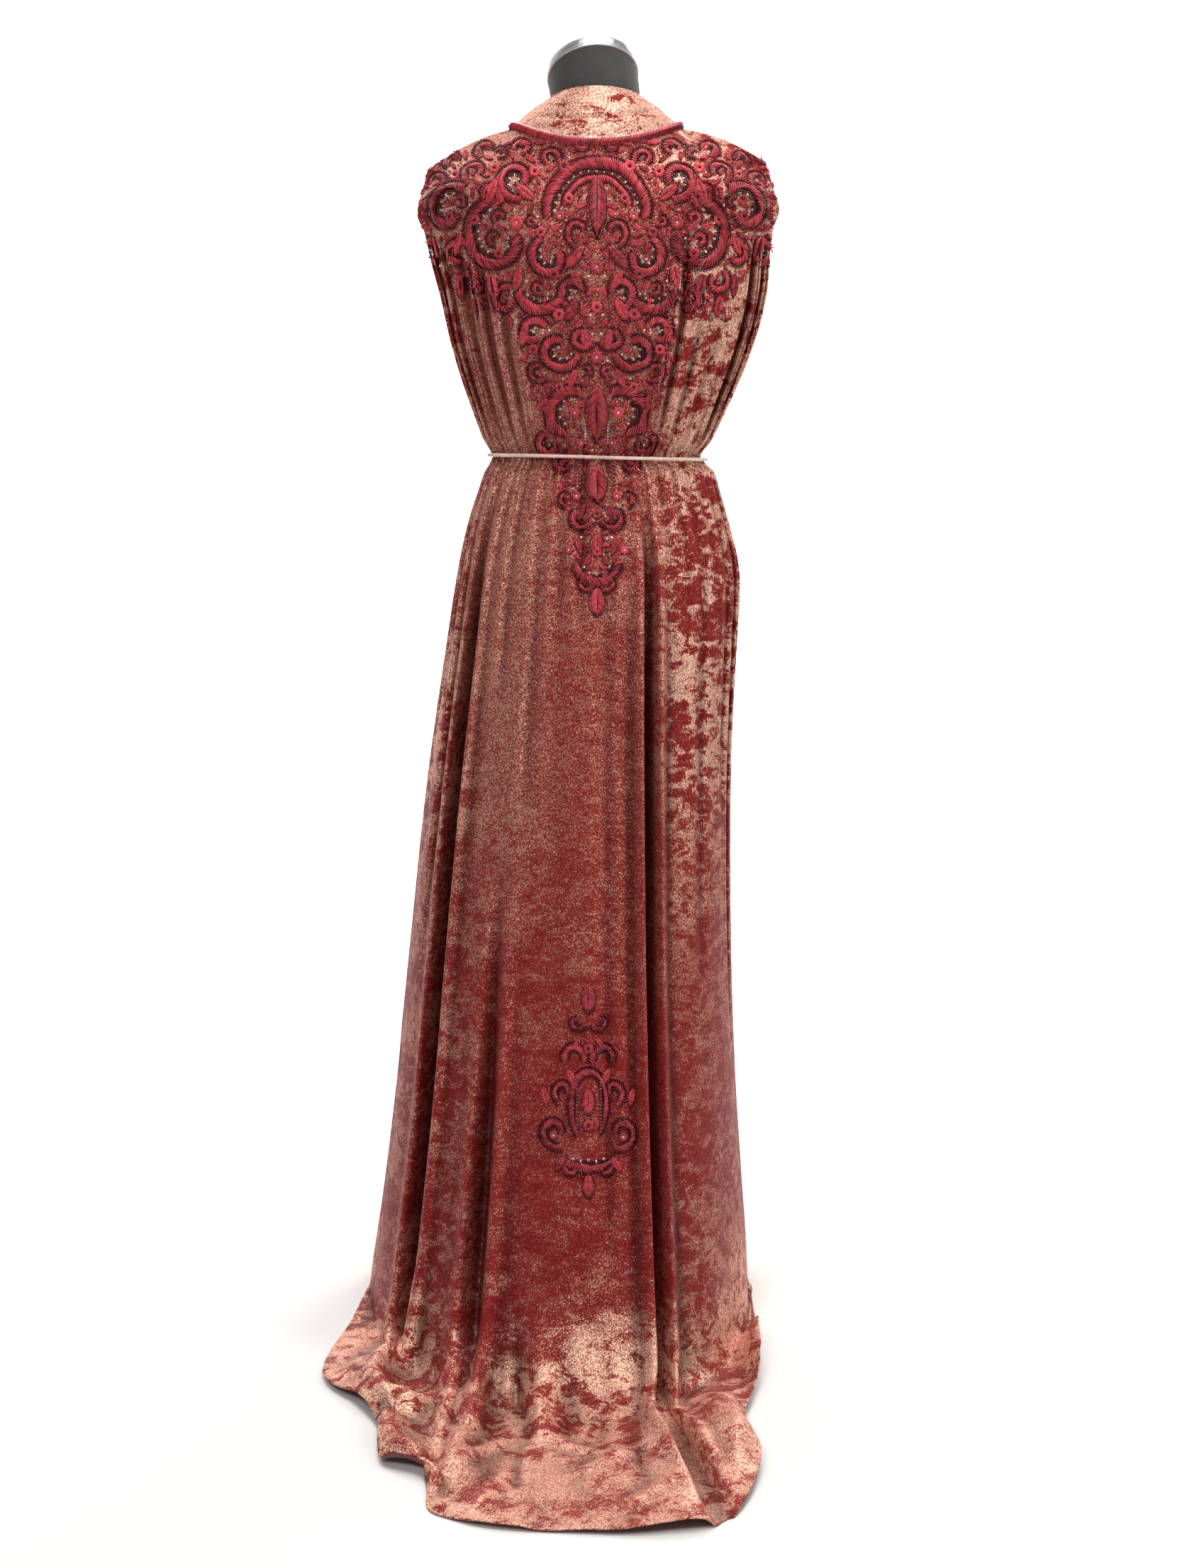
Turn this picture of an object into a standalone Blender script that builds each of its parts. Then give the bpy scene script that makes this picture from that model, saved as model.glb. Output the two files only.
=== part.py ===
# Kaftan with a train, belted on a limbless dress form
#
# Metres, +Z up. The origin is on the floor, on the axis of the stand's pole.
# -Y is the garment's back, where the train lies, and +X is the right-hand side seen from behind.
# "Across" runs over a panel from -1 at its left edge, seen from behind, to +1 at its right edge.

from collections import namedtuple
from math import cos, pi, radians, sin, tan

import bmesh
import bpy
import numpy as np
from mathutils import Vector
from mathutils.bvhtree import BVHTree

# Driving sizes
CLOTH = 0.002
SEAM_GAP = 0.0003
SEAM_EASE = 0.00025
HEM_EASE = 0.0008
BELT_HEIGHT = 1.100
BUST_HEIGHT = 1.300
KNEE_HEIGHT = 0.490
BELT_RADIUS = 0.0024
BELT_CLEARANCE = 0.0004
BELT_TILT = 0.003
BELT_POINTS = 44
BELT_FEELERS = 6
CORD_SIDES = 6

NECK_RADIUS = 0.0566
CAP_SLANT = radians(28)
CAP_HEIGHT = 0.016
CAP_LIP = 0.0012
CAP_ROLL = radians(4.5)
CAP_BACK_TOP = 1.621
NECK_LEAN = -0.0045

POLE_RADIUS = 0.0125
BASE_RADIUS = 0.170
BASE_HEIGHT = 0.012
COLLAR_WALL = 0.013
COLLAR_HEIGHT = 0.028
STAND_BEVEL = 0.004
EASED_EDGE = 0.001
ROUND_SIDES = 28
FORM_BOTTOM = 0.800
FORM_SIDES = 26
SHARP_ANGLE = radians(40)

# The cloth's inner face stays this far outside the dress form
FORM_CLEARANCE = 0.0016

# The seam that joins the neckband to the panels, and the band's free top edge
NeckLine = namedtuple("NeckLine", "back side front")
NECK_SEAM = NeckLine(Vector((0, -0.096, 1.490)), Vector((0.102, 0, 1.514)), Vector((0, 0.122, 1.385)))
BAND_TOP = NeckLine(Vector((0, -0.069, 1.553)), Vector((0.0605, 0, 1.546)), Vector((0, 0.112, 1.418)))
BAND_BELLY = 0.002
BAND_SHARES = (1.0, 0.65, 0.3, 0.0)
BRAID_RADIUS = 0.0042
BRAID_GAP = 0.0006
BRAID_RISE = 0.0014
NECK_SHARE = 0.45
SHOULDER_TIP = Vector((0.214, 0, 1.465))
SHOULDER_ROUND = 0.007
SHOULDER_TILT = 0.005

ARMHOLE_TOP = 1.452
ARMHOLE_BOTTOM = 1.215
ARMHOLE_HALF_GAPE = 0.030
ARMHOLE_EDGE = 0.80

# Level sections of the garment, from under the shoulders to the floor: how far each reaches from the axis
Section = namedtuple("Section", "height left right back front")
SECTIONS = [
    Section(1.440, 0.226, 0.230, 0.113, 0.108),
    Section(1.405, 0.217, 0.223, 0.121, 0.121),
    Section(1.360, 0.209, 0.218, 0.125, 0.132),
    Section(BUST_HEIGHT, 0.196, 0.213, 0.123, 0.135),
    Section(1.235, 0.182, 0.196, 0.117, 0.128),
    Section(1.165, 0.160, 0.168, 0.108, 0.113),
    Section(1.125, 0.146, 0.150, 0.101, 0.102),
    Section(BELT_HEIGHT, 0.134, 0.134, 0.096, 0.095),
    Section(1.082, 0.144, 0.151, 0.101, 0.101),
    Section(1.050, 0.155, 0.161, 0.112, 0.111),
    Section(1.010, 0.167, 0.172, 0.125, 0.121),
    Section(0.950, 0.179, 0.184, 0.140, 0.131),
    Section(0.860, 0.192, 0.182, 0.157, 0.140),
    Section(0.700, 0.215, 0.177, 0.186, 0.158),
    Section(KNEE_HEIGHT, 0.240, 0.178, 0.236, 0.185),
    Section(0.300, 0.260, 0.185, 0.294, 0.210),
    Section(0.150, 0.279, 0.195, 0.352, 0.228),
    Section(0.060, 0.291, 0.202, 0.400, 0.238),
    Section(0.018, 0.297, 0.204, 0.438, 0.243),
    Section(0.000, 0.300, 0.205, 0.490, 0.246),
]

# The hem of the back panel on the floor, across the panel
HemPoint = namedtuple("HemPoint", "across x y")
TRAIN_HEM = [
    HemPoint(-1.00, -0.300, 0.000),
    HemPoint(-0.90, -0.314, -0.150),
    HemPoint(-0.80, -0.332, -0.330),
    HemPoint(-0.69, -0.283, -0.424),
    HemPoint(-0.59, -0.250, -0.505),
    HemPoint(-0.50, -0.234, -0.566),
    HemPoint(-0.41, -0.202, -0.618),
    HemPoint(-0.33, -0.176, -0.688),
    HemPoint(-0.20, -0.108, -0.738),
    HemPoint(-0.04, -0.030, -0.750),
    HemPoint(0.12, 0.062, -0.752),
    HemPoint(0.25, 0.138, -0.720),
    HemPoint(0.38, 0.180, -0.596),
    HemPoint(0.50, 0.170, -0.480),
    HemPoint(0.62, 0.184, -0.415),
    HemPoint(0.76, 0.199, -0.320),
    HemPoint(0.90, 0.203, -0.150),
    HemPoint(1.00, 0.205, 0.000),
]

# Pleats run down each panel from the bodice through the belt into the skirt. Each row is one valley:
# where it lies, its half width across, the height where it starts above the belt, how deep it gets
# above and below the belt, over what drop below the belt it opens, and the height where it ends;
# below zero that is a distance along the train.
Pleat = namedtuple("Pleat", "across width start bodice skirt opens end")
BACK_FOLD = Pleat(-0.620, 0.042, 1.38, 0.016, 0.040, 0.36, -0.10)
BACK_SLIT = Pleat(0.240, 0.036, 1.20, 0.004, 0.048, 0.48, -0.26)
BACK_PLEATS = [
    Pleat(-0.925, 0.030, 1.37, 0.012, 0.010, 0.22, 0.30),
    Pleat(-0.835, 0.030, 1.39, 0.016, 0.014, 0.22, 0.55),
    Pleat(-0.740, 0.032, 1.38, 0.018, 0.016, 0.22, 0.10),
    BACK_FOLD,
    Pleat(-0.500, 0.036, 1.36, 0.020, 0.010, 0.22, 0.80),
    Pleat(-0.400, 0.034, 1.30, 0.010, 0.012, 0.22, 0.20),
    Pleat(-0.300, 0.034, 1.18, 0.004, 0.008, 0.22, -0.16),
    Pleat(-0.170, 0.036, 1.18, 0.002, 0.006, 0.22, 0.05),
    Pleat(-0.050, 0.036, 1.18, 0.002, 0.004, 0.22, 0.80),
    Pleat(0.080, 0.036, 1.18, 0.002, 0.005, 0.22, 0.10),
    BACK_SLIT,
    Pleat(0.345, 0.034, 1.38, 0.012, 0.008, 0.22, 0.85),
    Pleat(0.430, 0.032, 1.26, 0.008, 0.010, 0.22, 0.70),
    Pleat(0.530, 0.034, 1.30, 0.006, 0.009, 0.22, 0.15),
    Pleat(0.630, 0.032, 1.24, 0.006, 0.008, 0.22, 0.85),
    Pleat(0.720, 0.036, 1.38, 0.022, 0.012, 0.22, 0.40),
    Pleat(0.830, 0.030, 1.38, 0.014, 0.010, 0.22, 0.10),
    Pleat(0.920, 0.030, 1.36, 0.010, 0.009, 0.22, 0.60),
]
FRONT_PLEATS = [
    Pleat(-0.900, 0.034, 1.37, 0.013, 0.014, 0.22, 0.20),
    Pleat(-0.770, 0.036, 1.38, 0.017, 0.020, 0.22, 0.00),
    Pleat(-0.620, 0.038, 1.36, 0.015, 0.012, 0.36, 0.50),
    Pleat(-0.470, 0.040, 1.30, 0.010, 0.026, 0.22, 0.00),
    Pleat(-0.310, 0.040, 1.22, 0.006, 0.012, 0.22, 0.30),
    Pleat(-0.150, 0.040, 1.20, 0.004, 0.014, 0.22, 0.00),
    Pleat(0.020, 0.040, 1.18, 0.003, 0.008, 0.22, 0.60),
    Pleat(0.180, 0.040, 1.20, 0.004, 0.018, 0.22, 0.00),
    Pleat(0.330, 0.040, 1.24, 0.007, 0.012, 0.22, 0.35),
    Pleat(0.480, 0.040, 1.32, 0.011, 0.024, 0.22, 0.00),
    Pleat(0.640, 0.038, 1.37, 0.016, 0.012, 0.22, 0.55),
    Pleat(0.780, 0.036, 1.38, 0.017, 0.018, 0.22, 0.00),
    Pleat(0.900, 0.034, 1.36, 0.012, 0.012, 0.22, 0.25),
]
# The skirt's gores are joined at the bottom of these valleys
BACK_SEAMS = (BACK_FOLD.across, BACK_SLIT.across)
FRONT_SEAMS = (-0.310, 0.330)

GATHER_DEPTH = 0.0028
PLEAT_FADE_IN = 0.09
PLEAT_FADE_OUT = 0.16
PLEAT_HOLD = 0.10
PLEAT_RIDGE = 0.30
PLEAT_RIDGE_OFFSET = 1.9
SIDE_SEAM_FLAT = 0.05

# The extra lines of points beside the deep pleats, in half widths, and the closest that two lines may run
FINE_OFFSETS = (-1.7, -1.15, -0.75, 0.75, 1.15, 1.7)
SIDE_COLUMN = 0.965
LEAST_SPACING = 0.011

# Round folds that lie along the train, as lines on the floor with a height and a half width;
# they lift only cloth that is within the floor zone
FLOOR_ZONE = 0.10
TrainFold = namedtuple("TrainFold", "x0 y0 x1 y1 height width")
TRAIN_FOLDS = [
    TrainFold(-0.215, -0.300, -0.262, -0.400, 0.030, 0.034),
    TrainFold(-0.170, -0.420, -0.205, -0.560, 0.022, 0.030),
    TrainFold(-0.110, -0.440, -0.130, -0.640, 0.018, 0.026),
    TrainFold(-0.030, -0.470, -0.020, -0.660, 0.010, 0.040),
    TrainFold(0.105, -0.430, 0.158, -0.640, 0.026, 0.024),
    TrainFold(0.180, -0.250, 0.176, -0.440, 0.024, 0.026),
]

# Where each panel's rows of points lie, counted in sections down from the top edge to the knee,
# and how many more rows lie below the knee. The bodice and the skirt meet at the belt's row.
BELT_ROW = 8
BACK_ROWS = [0, 0.4, 0.8, 1.2, 1.7, 2.3, 3, 3.7, 4.5, 5.2, 6, 6.6, 7.2, 7.6, 8, 8.4, 8.8]
BACK_ROWS += [9.4, 10, 10.6, 11.3, 12, 12.8, 13.5, 14.2, 15]
FRONT_ROWS = [0, 0.6, 1.2, 2.2, 3.4, 4.8, 6.2, 7.3, 8, 8.6, 9.4, 10.4, 11.6, 13.2, 15]
BACK_LOWER_ROWS = 16
FRONT_LOWER_ROWS = 8
SAMPLES = 160

# Raised embroidery, seen from behind. A rope is a spiral round a centre, from one radius to another
# and between two angles, counter-clockwise from +X, stretched in height; a paired one is mirrored.
APPLIQUE_GAP = 0.0008
BEHIND = -2.0
ROPE_RISE = 0.28
ROPE_STEP = 0.013
ROPE_LEAST_STEPS = 6
# The strip's cross-section: share of its width, share of its rise
ROPE_OUTLINE = ((-0.5, 0.0), (0.0, 0.0), (0.5, 0.0), (0.36, 0.8), (0.0, 1.0), (-0.36, 0.8))
LEAF_STATIONS = (0.0, 0.12, 0.34, 0.6, 0.85, 1.0)
LEAF_POINT = 0.22
Rope = namedtuple("Rope", "name paired x z radius end_radius angle end_angle stretch width")
ROPES = [
    Rope("arch", False, 0.000, 1.398, 0.060, 0.060, -8, 188, 0.98, 0.013),
    Rope("neck_scroll", True, 0.098, 1.436, 0.024, 0.010, -100, 200, 1.0, 0.011),
    Rope("long_scroll", True, 0.116, 1.366, 0.050, 0.016, 80, -190, 1.0, 0.014),
    Rope("shoulder_scroll", True, 0.182, 1.404, 0.030, 0.012, 130, -150, 1.0, 0.012),
    Rope("inner_scroll", True, 0.056, 1.342, 0.026, 0.010, 60, -210, 1.0, 0.011),
    Rope("swag", True, 0.066, 1.304, 0.030, 0.024, -5, -170, 0.9, 0.013),
    Rope("column_scroll", True, 0.047, 1.232, 0.026, 0.010, 200, 470, 1.0, 0.011),
    Rope("plume", True, 0.034, 1.150, 0.031, 0.018, 118, -75, 1.1, 0.014),
    Rope("pendant_arc", False, 0.000, 0.972, 0.026, 0.026, 185, 355, 1.0, 0.011),
    Rope("skirt_arch", False, -0.010, 0.322, 0.021, 0.021, -50, 230, 1.9, 0.008),
    Rope("skirt_scroll", True, 0.040, 0.290, 0.018, 0.008, -110, 170, 1.0, 0.009),
    Rope("skirt_crest", True, 0.018, 0.376, 0.014, 0.011, 190, -20, 1.0, 0.008),
    Rope("skirt_swag", False, -0.010, 0.268, 0.034, 0.034, 205, 335, 0.5, 0.010),
]
SKIRT_MOTIF_HEIGHT = 0.47
SKIRT_MOTIF_X = -0.010

# Raised leaves: pointed at both ends, from the top down
Leaf = namedtuple("Leaf", "name x top length width")
LEAVES = [
    Leaf("arch_leaf", 0.000, 1.434, 0.072, 0.020),
    Leaf("spindle", 0.000, 1.182, 0.066, 0.026),
    Leaf("oval", 0.000, 1.084, 0.042, 0.024),
    Leaf("drop_leaf", 0.000, 0.938, 0.034, 0.018),
    Leaf("skirt_top_leaf", -0.010, 0.462, 0.034, 0.016),
    Leaf("skirt_foot_leaf", -0.010, 0.243, 0.026, 0.013),
]

# The dress form, from its flat bottom to the top of its neck
FORM_SECTIONS = [
    Section(0.800, 0.118, 0.118, 0.078, 0.072),
    Section(0.806, 0.140, 0.140, 0.094, 0.086),
    Section(0.830, 0.151, 0.151, 0.102, 0.094),
    Section(0.900, 0.156, 0.156, 0.106, 0.098),
    Section(0.980, 0.147, 0.147, 0.100, 0.096),
    Section(1.050, 0.126, 0.126, 0.088, 0.090),
    Section(1.100, 0.116, 0.116, 0.082, 0.083),
    Section(1.165, 0.124, 0.124, 0.086, 0.091),
    Section(1.235, 0.136, 0.136, 0.092, 0.106),
    Section(1.300, 0.150, 0.150, 0.098, 0.116),
    Section(1.360, 0.166, 0.166, 0.102, 0.112),
    Section(1.405, 0.180, 0.180, 0.098, 0.096),
    Section(1.440, 0.190, 0.190, 0.084, 0.076),
    Section(1.453, 0.190, 0.190, 0.066, 0.058),
    Section(1.467, 0.180, 0.180, 0.056, 0.048),
    Section(1.488, 0.1445, 0.1445, 0.049, 0.046),
    Section(1.502, 0.1085, 0.1085, 0.050, 0.047),
    Section(1.514, 0.080, 0.080, 0.054, 0.049),
    Section(1.526, 0.0635, 0.0635, 0.0585, 0.0525),
    Section(1.536, NECK_RADIUS, NECK_RADIUS, NECK_RADIUS, 0.054),
]


def smooth(value):
    """0 below 0, 1 above 1, with level ends."""
    value = np.clip(value, 0.0, 1.0)
    return value * value * (3.0 - 2.0 * value)


def through(points, at):
    """A smooth line through points, read at parameters that count the points from 0."""
    points = np.asarray(points, float)
    last = len(points) - 1
    index = np.clip(np.floor(at).astype(int), 0, last - 1)
    part = (at - index)[:, None]
    before = points[np.maximum(index - 1, 0)]
    here = points[index]
    after = points[index + 1]
    beyond = points[np.minimum(index + 2, last)]
    leave = (after - before) / 2.0
    arrive = (beyond - here) / 2.0
    square = part * part
    cube = square * part
    return (
        (2 * cube - 3 * square + 1) * here
        + (cube - 2 * square + part) * leave
        + (3 * square - 2 * cube) * after
        + (cube - square) * arrive
    )


def section_point(section, across, side):
    """A point of a level section. side is -1 on the back panel and +1 on the front panel."""
    angle = across * pi / 2
    reach = section.right if across > 0 else section.left
    depth = section.front if side > 0 else section.back
    return np.array([reach * sin(angle), side * depth * cos(angle), section.height])


def neck_point(line, across, side):
    """A point of a line round the neck, on one panel's half of it."""
    turn = across / NECK_SHARE * pi / 2
    centre = line.front if side > 0 else line.back
    rise = 1.0 - cos(turn) if side < 0 else abs(sin(turn))
    height = centre.z + (line.side.z - centre.z) * rise
    return np.array([line.side.x * sin(turn), centre.y * cos(turn), height])


def top_point(across, side):
    """A point of the panel's top edge: the neckline, then the shoulder seam."""
    share = abs(across)
    if share <= NECK_SHARE:
        return neck_point(NECK_SEAM, across, side)
    along = (share - NECK_SHARE) / (1.0 - NECK_SHARE)
    place = NECK_SEAM.side.lerp(SHOULDER_TIP, along)
    way = 1.0 if across > 0 else -1.0
    height = place.z + SHOULDER_ROUND * sin(pi * along) + SHOULDER_TILT * way * along
    return np.array([way * place.x, 0.0, height])


def hem_point(across):
    """A point of the train's hem, on the floor."""
    table = np.array(TRAIN_HEM)
    at = np.interp(across, table[:, 0], np.arange(len(table)))
    x, y = through(table[:, 1:], np.array([at]))[0]
    return np.array([x, y, 0.0])


def respaced(line, shares):
    """A line's points at shares of its length, with whatever columns follow x, y and z."""
    steps = np.linalg.norm(np.diff(line[:, :3], axis=0), axis=1)
    along = np.concatenate([[0.0], np.cumsum(steps)])
    return np.stack([np.interp(shares * along[-1], along, column) for column in line.T], axis=1)


def profile(across, side, upper_rows, lower_rows):
    """One line down a panel, from its top edge to its hem, and how far down each point is.

    The drop is the height while the cloth hangs, and minus the distance from the foot on the floor."""
    top = top_point(across, side)
    fit = (top[2] - BUST_HEIGHT) / (NECK_SEAM.side.z - BUST_HEIGHT)
    points = [top]
    for section in SECTIONS:
        point = section_point(section, across, side)
        if section.height > BUST_HEIGHT:
            point[2] = BUST_HEIGHT + (section.height - BUST_HEIGHT) * fit
        points.append(point)
    knee = 1 + [section.height for section in SECTIONS].index(KNEE_HEIGHT)
    upper = through(points, np.array(upper_rows, float))
    lower = through(points, np.linspace(knee, len(points) - 1, SAMPLES))
    upper = np.column_stack([upper, upper[:, 2]])
    lower = np.column_stack([lower, lower[:, 2]])
    if side < 0:
        foot, hem = lower[-1, :3], hem_point(across)
        shares = np.linspace(0.0, 1.0, SAMPLES)[1:, None]
        flat = np.column_stack([foot + (hem - foot) * shares, -np.linalg.norm(hem - foot) * shares])
        lower = np.concatenate([lower, flat])
    lower = respaced(lower, np.linspace(0.0, 1.0, lower_rows)[1:])
    line = np.concatenate([upper, lower])
    return line[:, :3], line[:, 3]


def pleat_depth(pleat, drop):
    """How deep a pleat is at each height: it fades in, is held at the belt, and fades out below."""
    rise = smooth((pleat.start - drop) / PLEAT_FADE_IN)
    full = smooth((drop - BELT_HEIGHT) / PLEAT_HOLD)
    above = rise * (GATHER_DEPTH + (pleat.bodice - GATHER_DEPTH) * full)
    opened = smooth((BELT_HEIGHT - drop) / pleat.opens)
    fade = smooth((drop - pleat.end) / PLEAT_FADE_OUT)
    below = (GATHER_DEPTH + (pleat.skirt - GATHER_DEPTH) * opened) * fade
    return np.where(drop > BELT_HEIGHT, above, below)


def pleat_shape(offset, square):
    """A valley between two soft ridges; a square one has steep sides and a flat bottom."""
    valley = np.exp(-(offset**4)) if square else np.exp(-(offset**2))
    ridges = np.exp(-((np.abs(offset) - PLEAT_RIDGE_OFFSET) ** 2))
    return PLEAT_RIDGE * ridges - valley


def folded(across, drop, pleats):
    """How far the cloth stands out of its plain section at each point of a panel."""
    depth = np.zeros_like(drop)
    for pleat in pleats:
        offset = (across - pleat.across) / pleat.width
        depth += pleat_depth(pleat, drop) * pleat_shape(offset, pleat is BACK_SLIT)
    return depth


def surface_normals(grid, side):
    """The outward direction at each point of a grid of rows and columns."""
    down = np.gradient(grid, axis=0)
    over = np.gradient(grid, axis=1)
    normals = np.cross(down, over) * -side
    return normals / np.maximum(np.linalg.norm(normals, axis=2, keepdims=True), 1e-12)


def train_lift(points):
    """How high the train's round folds lift each point that lies near the floor."""
    lift = np.zeros(points.shape[:2])
    for fold in TRAIN_FOLDS:
        start = np.array([fold.x0, fold.y0])
        run = np.array([fold.x1, fold.y1]) - start
        away = points[..., :2] - start
        share = np.clip(away @ run / (run @ run), 0.0, 1.0)
        distance = np.linalg.norm(away - share[..., None] * run, axis=2)
        lift = np.maximum(lift, fold.height * np.exp(-((distance / fold.width) ** 2)))
    return lift * smooth((FLOOR_ZONE - points[..., 2]) / FLOOR_ZONE)


def surface_tree(*pieces):
    places, faces = [], []
    for piece in pieces:
        piece.data.calc_loop_triangles()
        first = len(places)
        places.extend(vertex.co for vertex in piece.data.vertices)
        faces.extend([first + corner for corner in face.vertices] for face in piece.data.loop_triangles)
    return BVHTree.FromPolygons(places, faces)


def clear_of(tree, grid, outward):
    """Moves a cloth's outer points out to where its inner face clears a solid, between its points too."""
    for down, over in ((0, 0), (1, 0), (0, 1), (1, 1)):
        for row, column in np.ndindex(grid.shape[0] - down, grid.shape[1] - over):
            corners = np.s_[row : row + down + 1, column : column + over + 1]
            middle = Vector((grid[corners] - outward[corners] * CLOTH).mean(axis=(0, 1)))
            nearest, normal, _, _ = tree.find_nearest(middle)
            outside = (middle - nearest).dot(normal)
            if outside < FORM_CLEARANCE:
                grid[corners] += np.array(normal) * (FORM_CLEARANCE - outside)


def panel_grid(side, columns, pleats, upper_rows, lower_rows, form_tree):
    """The outer face of a panel, as rows and columns of points, with its outward directions."""
    lines = [profile(across, side, upper_rows, lower_rows) for across in columns]
    base = np.stack([line[0] for line in lines], axis=1)
    drop = np.stack([line[1] for line in lines], axis=1)
    across = np.broadcast_to(columns, drop.shape)

    down = np.clip((ARMHOLE_TOP - drop) / (ARMHOLE_TOP - ARMHOLE_BOTTOM), 0.0, 1.0)
    gape = ARMHOLE_HALF_GAPE * np.sin(pi * down)
    base[..., 1] += side * gape * smooth((np.abs(across) - ARMHOLE_EDGE) / (1.0 - ARMHOLE_EDGE))

    outward = surface_normals(base, side)
    depth = folded(across, drop, pleats)
    edge = smooth((1.0 - np.abs(across)) / SIDE_SEAM_FLAT)
    grid = base + outward * (depth * edge)[..., None]
    clear_of(form_tree, grid, surface_normals(grid, side))
    grid[..., 2] += np.where(drop < FLOOR_ZONE, train_lift(grid) * edge, 0.0)
    outward = surface_normals(grid, side)
    grid[..., 2] = np.maximum(grid[..., 2], CLOTH * np.maximum(outward[..., 2], 0.0))
    return grid, outward


def clear_scene():
    for found in list(bpy.data.objects):
        bpy.data.objects.remove(found, do_unlink=True)


def mesh_object(name, points, faces, finish):
    mesh = bpy.data.meshes.new(name)
    mesh.from_pydata([tuple(point) for point in points], [], faces)
    mesh.materials.append(finish)
    mesh.update()
    mesh.shade_smooth()
    mesh.set_sharp_from_angle(angle=SHARP_ANGLE)
    piece = bpy.data.objects.new(name, mesh)
    bpy.context.scene.collection.objects.link(piece)
    return piece


def wall_faces(rows, columns, closed):
    """Faces of a wall between an outer grid and an inner grid, with its rims."""
    inner = rows * columns
    last = columns if closed else columns - 1
    faces = []
    for row in range(rows - 1):
        for column in range(last):
            a = row * columns + column
            b = row * columns + (column + 1) % columns
            c, d = b + columns, a + columns
            faces.append((a, d, c, b))
            faces.append((inner + a, inner + b, inner + c, inner + d))
    for column in range(last):
        a, b = column, (column + 1) % columns
        faces.append((a, b, inner + b, inner + a))
        a, b = a + (rows - 1) * columns, b + (rows - 1) * columns
        faces.append((b, a, inner + a, inner + b))
    if not closed:
        for row in range(rows - 1):
            a, b = row * columns, (row + 1) * columns
            faces.append((b, a, inner + a, inner + b))
            a, b = a + columns - 1, b + columns - 1
            faces.append((a, b, inner + b, inner + a))
    return faces


def wall_object(name, grid, outward, side, finish):
    """A cloth wall from its outer face, thickened inwards."""
    rows, columns = grid.shape[:2]
    inner = grid - outward * CLOTH
    inner[..., 2] = np.maximum(inner[..., 2], 0.0)
    faces = wall_faces(rows, columns, False)
    if side > 0:
        faces = [face[::-1] for face in faces]
    points = np.concatenate([grid.reshape(-1, 3), inner.reshape(-1, 3)])
    points[:, 1] = np.maximum(points[:, 1] * side, SEAM_GAP / 2) * side
    return mesh_object(name, points, faces, finish)


def make_panel(label, grid, outward, side, columns, upper_rows, seams, velvet):
    """A bodice and the three gores of a skirt, which meet under the belt and down the seams."""
    waist = upper_rows.index(BELT_ROW)
    walls = [wall_object(f"{label}_bodice", grid[: waist + 1], outward[: waist + 1], side, velvet)]
    skirt, skirt_outward = grid[waist:].copy(), outward[waist:]
    down = skirt[1] - skirt[0]
    skirt[0] += SEAM_GAP * down / np.linalg.norm(down, axis=1, keepdims=True)
    over = np.cross(np.gradient(skirt, axis=0), skirt_outward)
    ease = np.where(skirt[..., 2:] < FLOOR_ZONE, HEM_EASE, SEAM_EASE)
    over *= side * ease / np.linalg.norm(over, axis=2, keepdims=True)
    cuts = [0, *(int(np.abs(columns - seam).argmin()) for seam in seams), len(columns) - 1]
    for name, first, last in zip(("left", "centre", "right"), cuts, cuts[1:]):
        gore = skirt[:, first : last + 1].copy()
        if first:
            gore[:, 0] += over[:, first]
        if last < len(columns) - 1:
            gore[:, -1] -= over[:, last]
        gore_outward = skirt_outward[:, first : last + 1]
        walls.append(wall_object(f"{label}_skirt_{name}", gore, gore_outward, side, velvet))
    return walls


def panel_columns(pleats, deep):
    """Where a panel's lines of points run: down each valley, between valleys, and beside the deep ones."""
    fixed = [-1.0, -NECK_SHARE, NECK_SHARE, 1.0]
    valleys = [pleat.across for pleat in pleats]
    between = [(a + b) / 2 for a, b in zip(valleys, valleys[1:])]
    beside = [pleat.across + share * pleat.width for pleat in deep for share in FINE_OFFSETS]
    kept = list(fixed)
    for column in sorted([-SIDE_COLUMN, *valleys, *between, *beside, SIDE_COLUMN]):
        if min(abs(column - other) for other in kept) > LEAST_SPACING:
            kept.append(column)
    return np.array(sorted(kept))


def material(name, colour, roughness, metallic=0.0):
    made = bpy.data.materials.new(name)
    made.use_nodes = True
    shader = made.node_tree.nodes["Principled BSDF"]
    shader.inputs["Base Color"].default_value = (*colour, 1.0)
    shader.inputs["Roughness"].default_value = roughness
    shader.inputs["Metallic"].default_value = metallic
    return made


def ring_loft(name, rings, finish):
    """A closed solid through rings of points, with flat ends, from its bottom to its top."""
    sides = len(rings[0])
    points = np.concatenate(rings)
    faces = [tuple(range(sides))[::-1]]
    for row in range(len(rings) - 1):
        for column in range(sides):
            a = row * sides + column
            b = row * sides + (column + 1) % sides
            faces.append((a, b, b + sides, a + sides))
    faces.append(tuple(range((len(rings) - 1) * sides, len(rings) * sides)))
    return mesh_object(name, points, faces, finish)


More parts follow.
